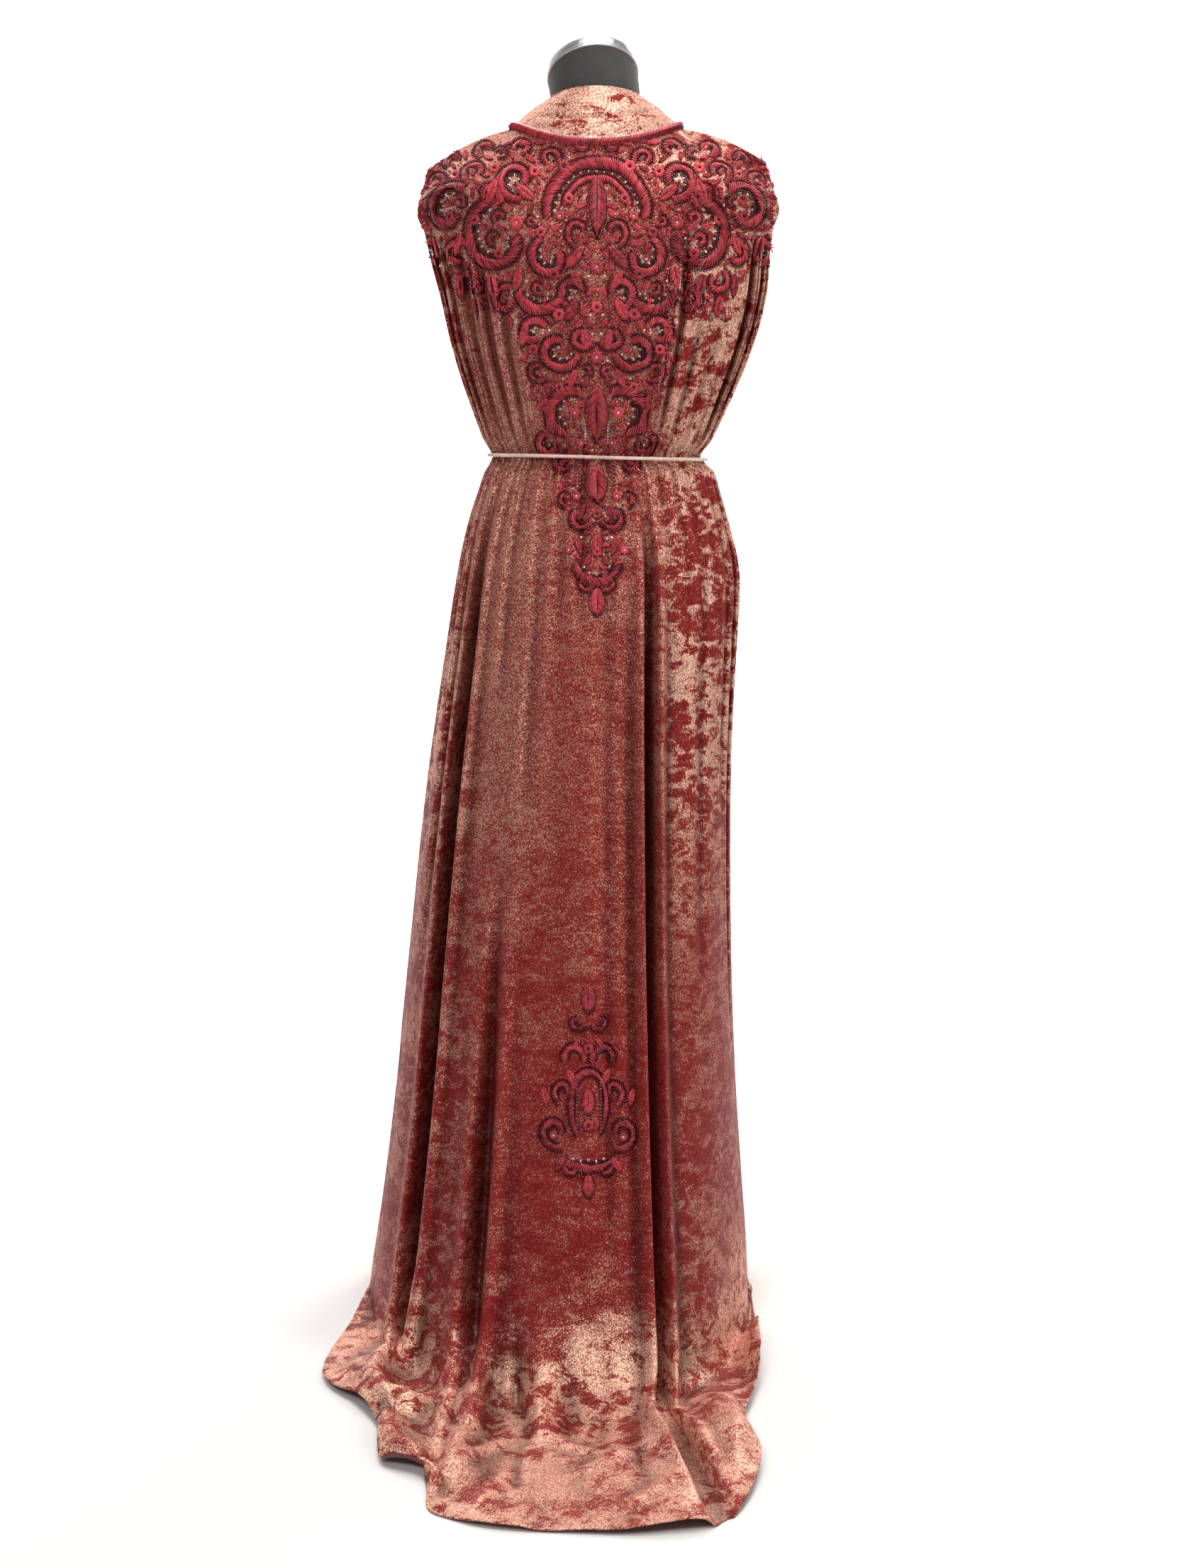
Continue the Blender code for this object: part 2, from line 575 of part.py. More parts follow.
def ring_tube(name, centres, radius, sides, finish):
    """A closed tube round a loop of centres, turned to stay in the loop's own plane."""
    points, faces = [], []
    count = len(centres)
    middle = centres.mean(axis=0)
    for index in range(count):
        along = centres[(index + 1) % count] - centres[index - 1]
        along /= np.linalg.norm(along)
        away = centres[index] - middle
        away -= along * (away @ along)
        away /= np.linalg.norm(away)
        other = np.cross(along, away)
        for turn in range(sides):
            angle = turn * 2 * pi / sides
            points.append(centres[index] + radius * (cos(angle) * away + sin(angle) * other))
    for index in range(count):
        for turn in range(sides):
            a = index * sides + turn
            b = index * sides + (turn + 1) % sides
            c = (index + 1) % count * sides + (turn + 1) % sides
            d = (index + 1) % count * sides + turn
            faces.append((a, b, c, d))
    return mesh_object(name, points, faces, finish)


def body_ring(section, sides):
    """A level ring of the dress form, anticlockwise seen from above."""
    angles = np.arange(sides) * 2 * pi / sides
    depth = np.where(np.sin(angles) > 0, section.front, section.back)
    return np.stack(
        [section.right * np.cos(angles), depth * np.sin(angles), np.full(sides, section.height)],
        axis=1,
    )


def slanted_ring(radius, rise, sides):
    """A ring of the neck on the cap's slant, higher at the back, rise above the slanted top of the neck."""
    angles = np.arange(sides) * 2 * pi / sides
    x, y = radius * np.cos(angles) + NECK_LEAN, radius * np.sin(angles)
    neck_top = CAP_BACK_TOP - CAP_HEIGHT / cos(CAP_SLANT) - NECK_RADIUS * tan(CAP_SLANT)
    level = np.stack([x, y, neck_top - y * tan(CAP_SLANT) + x * tan(CAP_ROLL)], axis=1)
    return level + np.array([-sin(CAP_ROLL), sin(CAP_SLANT), cos(CAP_SLANT)]) * rise


def make_form(jersey):
    rings = [body_ring(section, FORM_SIDES) for section in FORM_SECTIONS]
    rings.append(slanted_ring(NECK_RADIUS, 0.0, FORM_SIDES))
    return ring_loft("form_torso", rings, jersey)


def make_neck_cap(chrome):
    """A round plate on the slanted neck, with a bevelled top edge."""
    wide = NECK_RADIUS + CAP_LIP
    cap = [
        slanted_ring(wide - EASED_EDGE, SEAM_GAP, FORM_SIDES),
        slanted_ring(wide, SEAM_GAP + EASED_EDGE, FORM_SIDES),
        slanted_ring(wide, CAP_HEIGHT - STAND_BEVEL, FORM_SIDES),
        slanted_ring(wide - 0.3 * STAND_BEVEL, CAP_HEIGHT - 0.3 * STAND_BEVEL, FORM_SIDES),
        slanted_ring(wide - STAND_BEVEL, CAP_HEIGHT, FORM_SIDES),
    ]
    ring_loft("form_neck_cap", cap, chrome)


def round_ring(radius, height):
    return body_ring(Section(height, radius, radius, radius, radius), ROUND_SIDES)


def make_pole(steel):
    foot, top = BASE_HEIGHT + SEAM_GAP, FORM_BOTTOM - SEAM_GAP
    ring_loft("stand_pole", [round_ring(POLE_RADIUS, foot), round_ring(POLE_RADIUS, top)], steel)


def make_collar(steel):
    """A turned collar round the pole's foot."""
    inner, outer = POLE_RADIUS + SEAM_GAP, POLE_RADIUS + COLLAR_WALL
    foot = BASE_HEIGHT + SEAM_GAP
    top = foot + COLLAR_HEIGHT
    outline = [
        (inner, foot),
        (outer, foot),
        (outer, top - STAND_BEVEL),
        (outer - STAND_BEVEL, top),
        (inner, top),
    ]
    points = np.concatenate([round_ring(radius, height) for radius, height in outline])
    faces = []
    for row in range(len(outline)):
        below, above = row * ROUND_SIDES, (row + 1) % len(outline) * ROUND_SIDES
        for column in range(ROUND_SIDES):
            after = (column + 1) % ROUND_SIDES
            faces.append((below + column, below + after, above + after, above + column))
    mesh_object("stand_collar", points, faces, steel)


def make_base(steel):
    base = [
        round_ring(BASE_RADIUS - EASED_EDGE, 0.0),
        round_ring(BASE_RADIUS, EASED_EDGE),
        round_ring(BASE_RADIUS, BASE_HEIGHT - STAND_BEVEL),
        round_ring(BASE_RADIUS - STAND_BEVEL, BASE_HEIGHT),
    ]
    ring_loft("stand_base", base, steel)


SeamPoint = namedtuple("SeamPoint", "side across place outward up")


def neck_seam(back, back_outward, back_columns, front, front_outward, front_columns):
    """The panels' top edge all round the neck."""
    loop = []
    for side, grid, outward, columns in (
        (-1, back, back_outward, back_columns),
        (1, front, front_outward, front_columns),
    ):
        half = [index for index, across in enumerate(columns) if abs(across) <= NECK_SHARE + 1e-9]
        if side > 0:
            half = half[-2:0:-1]
        for index in half:
            up = grid[0, index] - grid[1, index]
            up /= np.linalg.norm(up)
            loop.append(SeamPoint(side, columns[index], grid[0, index], outward[0, index], up))
    return loop


def even(directions):
    """Directions round a closed loop, each made the mean of itself and its neighbours."""
    mixed = directions + 0.5 * (np.roll(directions, 1, axis=0) + np.roll(directions, -1, axis=0))
    return mixed / np.linalg.norm(mixed, axis=1, keepdims=True)


def make_neckband(loop, velvet, form_tree):
    outward = even(np.array([seam.outward for seam in loop]))
    foot = np.array([seam.place + seam.up * 2 * SEAM_GAP for seam in loop])
    top = np.array([neck_point(BAND_TOP, seam.across, seam.side) for seam in loop])
    rows = []
    for share in BAND_SHARES:
        rows.append(foot + (top - foot) * share + outward * BAND_BELLY * sin(pi * share))
    grid = np.array(rows)
    directions = np.array([outward] * len(rows))
    clear_of(form_tree, grid, directions)
    inner = grid - directions * CLOTH
    points = np.concatenate([grid.reshape(-1, 3), inner.reshape(-1, 3)])
    mesh_object("neckband", points, wall_faces(len(rows), len(loop), True), velvet)


def make_neck_braid(loop, beadwork):
    """A round braid that covers the neck seam."""
    centres = []
    for seam in loop:
        centres.append(seam.place + seam.outward * (BRAID_RADIUS + BRAID_GAP) + seam.up * BRAID_RISE)
    ring_tube("neck_braid", np.array(centres), BRAID_RADIUS, CORD_SIDES, beadwork)


def make_belt(cord, cloth_tree):
    """A thin cord drawn tight round the gathers, a little lower at its right."""
    turns = (np.arange(BELT_POINTS * BELT_FEELERS) + 0.5) * 2 * pi / (BELT_POINTS * BELT_FEELERS)
    heights = BELT_HEIGHT - BELT_TILT * np.cos(turns)
    reach = []
    for turn, height in zip(turns, heights):
        away = Vector((cos(turn), sin(turn), 0))
        hits = [
            cloth_tree.ray_cast(away + Vector((0, 0, height + rise)), -away)[0]
            for rise in (-BELT_RADIUS, 0, BELT_RADIUS)
        ]
        reach.append(max(hit.xy.length for hit in hits if hit))
    around = [np.roll(reach, shift) for shift in range(-BELT_FEELERS, BELT_FEELERS + 1)]
    taut = np.max(around, axis=0)[::BELT_FEELERS] + BELT_RADIUS + BELT_CLEARANCE
    turns, heights = turns[::BELT_FEELERS], heights[::BELT_FEELERS]
    centres = np.stack([taut * np.cos(turns), taut * np.sin(turns), heights], axis=1)
    ring_tube("belt_cord", centres, BELT_RADIUS, CORD_SIDES, cord)


def spiral(rope, steps):
    """Points along a rope's middle, with the direction across it."""
    points = []
    for step in range(steps + 1):
        share = step / steps
        angle = radians(rope.angle + (rope.end_angle - rope.angle) * share)
        reach = rope.radius + (rope.end_radius - rope.radius) * share
        across = np.array([cos(angle), rope.stretch * sin(angle)])
        points.append((np.array([rope.x, rope.z]) + reach * across, across / np.linalg.norm(across)))
    return points


def raised_strip(name, stations, finish, tree):
    """A low rounded strip laid on the cloth: stations give a middle, a direction across and a width."""
    sides, count = len(ROPE_OUTLINE), len(stations)
    last = (count - 1) * sides
    faces = []
    for column in range(1, sides - 1):
        faces.append((0, column, column + 1))
        faces.append((last, last + column + 1, last + column))
    for row in range(count - 1):
        for column in range(sides):
            a = row * sides + column
            b = row * sides + (column + 1) % sides
            faces.append((a, a + sides, b + sides))
            faces.append((a, b + sides, b))
    seats = []
    for middle, across, width in stations:
        for share, rise in ROPE_OUTLINE:
            place = middle + across * share * width
            hit, normal, _, _ = tree.ray_cast(Vector((place[0], BEHIND, place[1])), Vector((0, 1, 0)))
            seats.append((hit, normal, rise * width * ROPE_RISE))
    gap = APPLIQUE_GAP
    while True:
        touching = [hit + normal * (rise + gap - SEAM_GAP) for hit, normal, rise in seats]
        if not tree.overlap(BVHTree.FromPolygons(touching, faces)):
            break
        gap += SEAM_GAP
    points = [hit + normal * (rise + gap) for hit, normal, rise in seats]
    piece = mesh_object(name, points, faces, finish)
    bm = bmesh.new()
    bm.from_mesh(piece.data)
    if bm.calc_volume(signed=True) < 0:
        bmesh.ops.reverse_faces(bm, faces=bm.faces)
    bm.to_mesh(piece.data)
    bm.free()


def make_embroidery(back_tree, beadwork):
    for rope in ROPES:
        length = radians(abs(rope.end_angle - rope.angle)) * (rope.radius + rope.end_radius) / 2
        steps = max(ROPE_LEAST_STEPS, round(length / ROPE_STEP))
        shift = SKIRT_MOTIF_X if rope.paired and rope.z < SKIRT_MOTIF_HEIGHT else 0.0
        for label, way in (("right", 1.0), ("left", -1.0)) if rope.paired else (("", 1.0),):
            stations = []
            for place, across in spiral(rope, steps):
                flip = np.array([way, 1.0])
                stations.append((place * flip + np.array([shift, 0.0]), across * flip, rope.width))
            name = "_".join(part for part in ("applique", rope.name, label) if part)
            raised_strip(name, stations, beadwork, back_tree)
    for leaf in LEAVES:
        stations = []
        for share in LEAF_STATIONS:
            width = leaf.width * max(LEAF_POINT, sin(pi * share**0.8) ** 0.7)
            middle = np.array([leaf.x, leaf.top - leaf.length * share])
            stations.append((middle, np.array([1.0, 0.0]), width))
        raised_strip(f"applique_{leaf.name}", stations, beadwork, back_tree)


def make_kaftan(velvet, cord, beadwork, form_tree):
    back_columns = panel_columns(BACK_PLEATS, deep=[BACK_FOLD, BACK_SLIT])
    back, back_outward = panel_grid(
        -1, back_columns, BACK_PLEATS, BACK_ROWS, BACK_LOWER_ROWS, form_tree
    )
    front_columns = panel_columns(FRONT_PLEATS, deep=[])
    front, front_outward = panel_grid(
        1, front_columns, FRONT_PLEATS, FRONT_ROWS, FRONT_LOWER_ROWS, form_tree
    )
    loop = neck_seam(back, back_outward, back_columns, front, front_outward, front_columns)
    make_neckband(loop, velvet, form_tree)
    make_neck_braid(loop, beadwork)
    back_walls = make_panel(
        "back", back, back_outward, -1, back_columns, BACK_ROWS, BACK_SEAMS, velvet
    )
    front_walls = make_panel(
        "front", front, front_outward, 1, front_columns, FRONT_ROWS, FRONT_SEAMS, velvet
    )
    make_belt(cord, surface_tree(*back_walls, *front_walls))
    make_embroidery(surface_tree(*back_walls), beadwork)


def main():
    clear_scene()
    velvet = material("velvet", (0.36, 0.09, 0.08), 0.55)
    beadwork = material("beadwork", (0.33, 0.02, 0.03), 0.35)
    cord = material("cord", (0.75, 0.58, 0.48), 0.6)
    jersey = material("jersey", (0.045, 0.043, 0.045), 0.85)
    chrome = material("chrome", (0.75, 0.76, 0.78), 0.12, 1.0)
    steel = material("steel", (0.55, 0.55, 0.56), 0.32, 1.0)
    form = make_form(jersey)
    make_neck_cap(chrome)
    make_pole(steel)
    make_collar(steel)
    make_base(steel)
    make_kaftan(velvet, cord, beadwork, surface_tree(form))


main()
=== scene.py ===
# Kaftan with a train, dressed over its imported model. Metres; the back is at -Y and +X is on the right seen from behind.
from collections import namedtuple
from math import atan2, cos, pi, radians, sin, tan

import bpy
import numpy as np
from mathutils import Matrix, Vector
from mathutils.bvhtree import BVHTree


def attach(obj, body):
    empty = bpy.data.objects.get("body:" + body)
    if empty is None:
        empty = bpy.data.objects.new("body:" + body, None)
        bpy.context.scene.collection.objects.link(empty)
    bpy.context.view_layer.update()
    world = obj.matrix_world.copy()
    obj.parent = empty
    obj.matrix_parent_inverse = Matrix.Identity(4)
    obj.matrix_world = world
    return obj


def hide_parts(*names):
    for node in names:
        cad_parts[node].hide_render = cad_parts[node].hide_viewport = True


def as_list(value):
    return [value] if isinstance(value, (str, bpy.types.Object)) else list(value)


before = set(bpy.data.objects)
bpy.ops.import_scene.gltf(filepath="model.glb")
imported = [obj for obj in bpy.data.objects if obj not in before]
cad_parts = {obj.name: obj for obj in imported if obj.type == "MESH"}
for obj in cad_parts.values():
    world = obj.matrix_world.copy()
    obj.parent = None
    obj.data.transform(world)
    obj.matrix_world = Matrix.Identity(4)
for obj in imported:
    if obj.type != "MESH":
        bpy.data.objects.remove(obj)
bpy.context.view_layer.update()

scene = bpy.context.scene

studio = {
    "cameraPlace": (-0.007, -3.0, 1.10),
    "cameraTilt": 81.94,
    "filmHeight": 36.0,
    "lens": 52.975,
    "floorColour": (0.86, 0.857, 0.85, 1.0),
    "farGlow": (0.95, 0.94, 0.93, 1.0),
    "floorNear": -11.0, "floorFar": 5.4, "halfWidth": 11.0, "bend": 1.6, "wallTop": 4.2,
    "skyStrength": 0.11,
    "skySeen": 1.25,
    # name, place, aim, size, power, colour
    "lights": (
        ("overheadLight", (0.10, -0.55, 3.1), (0.0, -0.50, 0.0), (1.6, 1.0), 48.0, (1.0, 0.97, 0.93)),
        ("frontLight", (-1.2, -2.7, 2.7), (0.0, 0.0, 1.05), (0.9, 1.1), 34.0, (1.0, 0.98, 0.95)),
        ("rightLight", (2.4, -1.2, 2.1), (0.0, 0.0, 1.0), (0.5, 1.5), 33.0, (1.0, 0.96, 0.91)),
        ("backdropLeft", (-2.4, 3.6, 4.6), (-1.3, 6.8, 0.9), (3.0, 1.2), 330.0, (1.0, 1.0, 1.0)),
        ("backdropRight", (2.4, 3.6, 4.6), (1.3, 6.8, 0.9), (3.0, 1.2), 330.0, (1.0, 1.0, 1.0)),
        ("faceLight", (1.4, 3.0, 2.6), (0.0, 0.0, 1.0), (1.2, 1.2), 30.0, (1.0, 0.98, 0.96)),
    ),
    "farSun": ((-0.5, 1.0, 0.9), 0.9, 50.0),  # where it shines from, strength, softness
}


class Wiring:
    # short ways to add nodes to a tree; every input is a link or a value
    def __init__(self, tree):
        self.tree = tree

    def put(self, sockets, values):
        for name, value in values.items():
            if isinstance(value, bpy.types.NodeSocket):
                self.tree.links.new(value, sockets[name])
            else:
                sockets[name].default_value = value

    def add(self, kind, inputs=None, output=0, **settings):
        node = self.tree.nodes.new(kind)
        for name, value in settings.items():
            setattr(node, name, value)
        self.put(node.inputs, inputs or {})
        return node.outputs if output is None else node.outputs[output]

    def maths(self, operation, *values, clamp=False):
        return self.add("ShaderNodeMath", dict(enumerate(values)), operation=operation, use_clamp=clamp)

    def times(self, a, b, clamp=False):
        return self.maths("MULTIPLY", a, b, clamp=clamp)

    def timesPlus(self, a, b, c):
        return self.maths("MULTIPLY_ADD", a, b, c)

    def vector(self, operation, *values, output=0):
        return self.add("ShaderNodeVectorMath", dict(enumerate(values)), output, operation=operation)

    def scaled(self, a, by):
        return self.add("ShaderNodeVectorMath", {0: a, "Scale": by}, operation="SCALE")

    def ramp(self, value, start, stop, low=0.0, high=1.0, kind="LINEAR"):
        ends = {"Value": value, "From Min": start, "From Max": stop, "To Min": low, "To Max": high}
        return self.add("ShaderNodeMapRange", ends, interpolation_type=kind)

    def mix(self, share, a, b):
        return self.add("ShaderNodeMix", {"Factor": share, 6: a, 7: b}, 2, data_type="RGBA")

    def noise(self, place, scale, detail, rough, distortion=0.0):
        return self.add("ShaderNodeTexNoise", {"Vector": place, "Scale": scale, "Detail": detail, "Roughness": rough,
                                               "Distortion": distortion})

    def bump(self, height, strength, distance, **under):
        return self.add("ShaderNodeBump", {"Strength": strength, "Distance": distance, "Height": height, **under})

    def attribute(self, name):
        return self.add("ShaderNodeAttribute", None, "Fac", attribute_name=name)

    def place(self):
        return self.add("ShaderNodeTexCoord", output="Object")

    def shade(self, values):
        self.put(self.tree.nodes["Principled BSDF"].inputs, values)


def newMaterial(name):
    made = bpy.data.materials.new(name)
    made.use_nodes = True
    return made, Wiring(made.node_tree)


def addObject(name, data):
    made = bpy.data.objects.new(name, data)
    scene.collection.objects.link(made)
    return made


def addLights():
    for name, place, aim, size, power, colour in studio["lights"]:
        lamp = bpy.data.lights.new(name, "AREA")
        lamp.shape = "RECTANGLE"
        lamp.size, lamp.size_y = size
        lamp.energy, lamp.color = power, colour
        holder = addObject(name, lamp)
        holder.location = place
        holder.rotation_euler = (Vector(aim) - Vector(place)).to_track_quat("-Z", "Y").to_euler()
    source, strength, softness = studio["farSun"]
    sun = bpy.data.lights.new("farSun", "SUN")
    sun.energy, sun.angle = strength, radians(softness)
    addObject("farSun", sun).rotation_euler = (-Vector(source)).to_track_quat("-Z", "Y").to_euler()
    scene.world = scene.world or bpy.data.worlds.new("studio")
    scene.world.use_nodes = True
    sky = next(node for node in scene.world.node_tree.nodes if node.type == "BACKGROUND")
    # the surroundings look pale from every side but light the kaftan only a little
    n = Wiring(scene.world.node_tree)
    seen = n.add("ShaderNodeLightPath", {}, "Is Camera Ray")
    strength = n.ramp(seen, 0.0, 1.0, studio["skyStrength"], studio["skySeen"])
    n.put(sky.inputs, {"Color": (1.0, 0.99, 0.975, 1.0), "Strength": strength})


def addFloor():
    # a floor that sweeps up into a backdrop well behind the form
    far, bend = studio["floorFar"], studio["bend"]
    outline = [(studio["floorNear"], 0.0), (far, 0.0)]
    outline += [(far + bend * sin(a), bend - bend * cos(a)) for a in np.linspace(0.1, pi / 2, 12)]
    outline += [(far + bend, studio["wallTop"])]
    points = [(x, y, z - 0.0004) for x in (-studio["halfWidth"], studio["halfWidth"]) for y, z in outline]
    count = len(outline)
    mesh = bpy.data.meshes.new("studioFloor")
    mesh.from_pydata(points, [], [(i, i + count, i + count + 1, i + 1) for i in range(count - 1)])
    mesh.update()
    mesh.shade_smooth()
    paint, n = newMaterial("studioPaint")
    # far from the lights the floor runs out into the pale surroundings
    away = n.ramp(n.vector("LENGTH", n.place(), output=1), 1.8, 5.0, kind="SMOOTHSTEP")
    glow = n.times(away, n.add("ShaderNodeLightPath", {}, "Is Camera Ray"))
    n.shade({"Base Color": studio["floorColour"], "Roughness": 0.9,
             "Emission Color": studio["farGlow"], "Emission Strength": glow})
    mesh.materials.append(paint)
    addObject("studioFloor", mesh)


camera = bpy.data.cameras.new("camera")
camera.sensor_fit = "VERTICAL"
camera.sensor_height = studio["filmHeight"]
camera.lens = studio["lens"]
scene.camera = addObject("camera", camera)
scene.camera.location = studio["cameraPlace"]
scene.camera.rotation_euler = (radians(studio["cameraTilt"]), 0.0, 0.0)
scene.view_settings.view_transform = "Standard"
addLights()
addFloor()
print("camera, lights and floor: ready")


def table(kind, rows, lengths=9):
    # rows as named tuples; their first columns are in millimetres, or in thousandths of the panel's half width
    return [kind(*(value / 1000 for value in row[:lengths]), *row[lengths:]) for row in rows]


# The garment's level sections: how far each reaches from the axis
Section = namedtuple("Section", "height left right back front")
sections = table(Section, (
    (1440, 226, 230, 113, 108), (1405, 217, 223, 121, 121), (1360, 209, 218, 125, 132),
    (1300, 196, 213, 123, 135), (1235, 182, 196, 117, 128), (1165, 160, 168, 108, 113),
    (1125, 146, 150, 101, 102), (1100, 134, 134, 96, 95), (1082, 144, 151, 101, 101),
    (1050, 155, 161, 112, 111), (1010, 167, 172, 125, 121), (950, 179, 184, 140, 131),
    (860, 192, 182, 157, 140), (700, 215, 177, 186, 158), (490, 240, 178, 236, 185), (300, 260, 185, 294, 210),
    (150, 279, 195, 352, 228), (60, 291, 202, 400, 238), (18, 297, 204, 438, 243), (0, 300, 205, 490, 246),
))
kaftan = {
    "cloth": 0.0016,
    "clearance": 0.0012,
    "bustHeight": 1.300,
    "beltHeight": 1.100,
    "beltRow": 8,
    "kneeRow": 15,
    "neckShare": 0.45,
    "shoulderTip": Vector((0.214, 0, 1.465)),
    "shoulderRound": 0.007,
    "shoulderTilt": 0.005,
    "armhole": (1.452, 1.215, 0.030, 0.80),  # top, bottom, half gape, where it starts across
    "floorZone": 0.13,
    "slitLip": 0.024,
    "foldShadingDepth": 0.0024,
    "seamFlat": 0.05,
    "backColumns": 281,
    "frontColumns": 161,
    "backRows": (133, 95, 187),  # bodice, belt to knee, knee to hem
    "frontRows": (101, 61, 81),
}
NeckLine = namedtuple("NeckLine", "back side front")
neckSeam = NeckLine(Vector((0, -0.099, 1.480)), Vector((0.106, 0, 1.511)), Vector((0, 0.122, 1.385)))
bandTop = NeckLine(Vector((0, -0.069, 1.553)), Vector((0.0605, 0, 1.546)), Vector((0, 0.112, 1.418)))
HemPoint = namedtuple("HemPoint", "across x y")
trainHem = table(HemPoint, (
    (-1000, -300, 0), (-900, -314, -150), (-800, -332, -330), (-690, -283, -424), (-600, -252, -492),
    (-540, -246, -548), (-500, -238, -582), (-450, -212, -600), (-410, -192, -614), (-370, -184, -650),
    (-330, -180, -694), (-280, -158, -716), (-200, -108, -740), (-40, -30, -750), (120, 62, -752),
    (250, 138, -720), (380, 180, -596), (500, 170, -480), (620, 184, -415), (760, 199, -320), (900, 203, -150),
    (1000, 205, 0),
))
# A valley that runs down a panel: where it lies, its half width across, the height where it starts,
# how deep it gets above and below the belt, over what drop it opens, and the height where it ends
Pleat = namedtuple("Pleat", "across width start bodice skirt opens end")
backPleats = table(Pleat, (
    (-925, 24, 1380, 9, 5, 220, 700), (-838, 22, 1400, 12, 6, 220, 800), (-742, 26, 1390, 14, 7, 300, 450),
    (-620, 30, 1400, 13, 52, 340, -120), (-504, 24, 1370, 15, 4, 220, 900), (-415, 26, 1330, 10, 4, 220, 740),
    (-350, 26, 660, 0, 42, 520, -220), (-270, 26, 1200, 4, 3, 300, 600), (-170, 30, 1180, 2, 2, 220, 800),
    (-72, 24, 1180, 2, 5, 100, 860), (50, 34, 1180, 2, 5, 700, 100), (240, 26, 1260, 6, 66, 460, -600),
    (345, 22, 1400, 12, 4, 220, 940), (432, 26, 1300, 7, 4, 220, 840), (530, 30, 1300, 4, 5, 300, 400),
    (626, 28, 1240, 4, 4, 220, 900), (720, 26, 1400, 18, 6, 220, 600), (826, 22, 1380, 9, 7, 220, 300),
    (920, 24, 1360, 7, 6, 220, 700),
))
backSlit = max(backPleats, key=lambda pleat: pleat.skirt)
frontPleats = table(Pleat, (
    (-900, 34, 1370, 13, 14, 220, 200), (-770, 36, 1380, 17, 20, 220, 0), (-620, 38, 1360, 15, 12, 360, 500),
    (-470, 40, 1300, 10, 26, 220, 0), (-310, 40, 1220, 6, 12, 220, 300), (-150, 40, 1200, 4, 14, 220, 0),
    (20, 40, 1180, 3, 8, 220, 600), (180, 40, 1200, 4, 18, 220, 0), (330, 40, 1240, 7, 12, 220, 350),
    (480, 40, 1320, 11, 24, 220, 0), (640, 38, 1370, 16, 12, 220, 550), (780, 36, 1380, 17, 18, 220, 0),
    (900, 34, 1360, 12, 12, 220, 250),
))
# Narrow pleats that only the looks have, between the main ones
backFinePleats = table(Pleat, (
    (-884, 12, 1360, 6, 1, 80, 990), (-796, 11, 1390, 7, 1, 80, 960), (-694, 13, 1380, 8, 1, 80, 980),
    (-660, 9, 1320, 4, 1, 80, 1020), (-563, 12, 1380, 8, 1, 80, 940), (-538, 9, 1300, 4, 1, 80, 1000),
    (-459, 12, 1360, 7, 1, 80, 920), (-374, 12, 1280, 4, 1, 100, 920), (-235, 18, 1170, 1, 2, 80, 920),
    (-125, 16, 1160, 1, 3, 80, 940), (150, 18, 1170, 2, 2, 80, 940), (302, 10, 1380, 5, 1, 80, 980),
    (386, 12, 1360, 5, 1, 80, 960), (484, 13, 1340, 4, 1, 80, 940), (672, 12, 1400, 7, 1, 80, 920),
    (774, 11, 1400, 7, 1, 80, 960), (876, 12, 1360, 5, 1, 80, 980),
))
frontFinePleats = table(Pleat, [(place, 22, 1340, 5, 4, 120, 700) for place in (
    -835, -695, -545, -390, -230, -65, 100, 255, 405, 560, 710, 840)])
# Rolls along the train, over a bent line on the floor: height, and half widths on its two sides seen walking along it
TrainRoll = namedtuple("TrainRoll", "height leftWidth rightWidth line")
trainRolls = table(TrainRoll, (
    (26, 30, 22, ((200, -240), (204, -340), (206, -430), (196, -520))),
    (34, 14, 32, ((-176, -230), (-156, -330), (-146, -430), (-150, -520))),
    (18, 26, 10, ((-82, -300), (-70, -420), (-60, -560))),
    (30, 16, 22, ((-230, -250), (-262, -350), (-250, -430), (-214, -452), (-196, -400))),
    (22, 22, 10, ((-240, -500), (-228, -562), (-186, -588))),
    (17, 7, 9, ((-232, -592), (-200, -606), (-176, -626), (-176, -660))),
    (16, 22, 16, ((-176, -470), (-160, -560), (-160, -640))),
    (8, 40, 36, ((10, -420), (30, -560), (10, -680))),
), 3)
# Small creases in the train: a line on the floor, how deep and how wide; a negative one is a ridge
TrainCrease = namedtuple("TrainCrease", "x0 y0 x1 y1 depth width")
trainCreases = table(TrainCrease, (
    (-98, -300, -86, -660, 10, 6), (-60, -520, 30, -600, -6, 10), (-50, -640, 60, -560, -4, 10),
    (30, -440, 60, -700, 4, 12), (100, -640, 20, -710, -5, 10), (-150, -600, -100, -520, -6, 9),
    (-130, -700, -90, -600, -5, 9), (-285, -300, -300, -380, -6, 10), (150, -500, 200, -470, 8, 8),
))


def smooth(value):
    value = np.clip(value, 0.0, 1.0)
    return value * value * (3.0 - 2.0 * value)


def unit(rows):
    return rows / np.maximum(np.linalg.norm(rows, axis=-1, keepdims=True), 1e-12)


def distances(line):
    # how far along a line of points each of them is
    return np.concatenate([[0.0], np.cumsum(np.linalg.norm(np.diff(line, axis=0), axis=1))])


def columnsAt(at, known, rows):
    return np.stack([np.interp(at, known, column) for column in rows.T], axis=1)


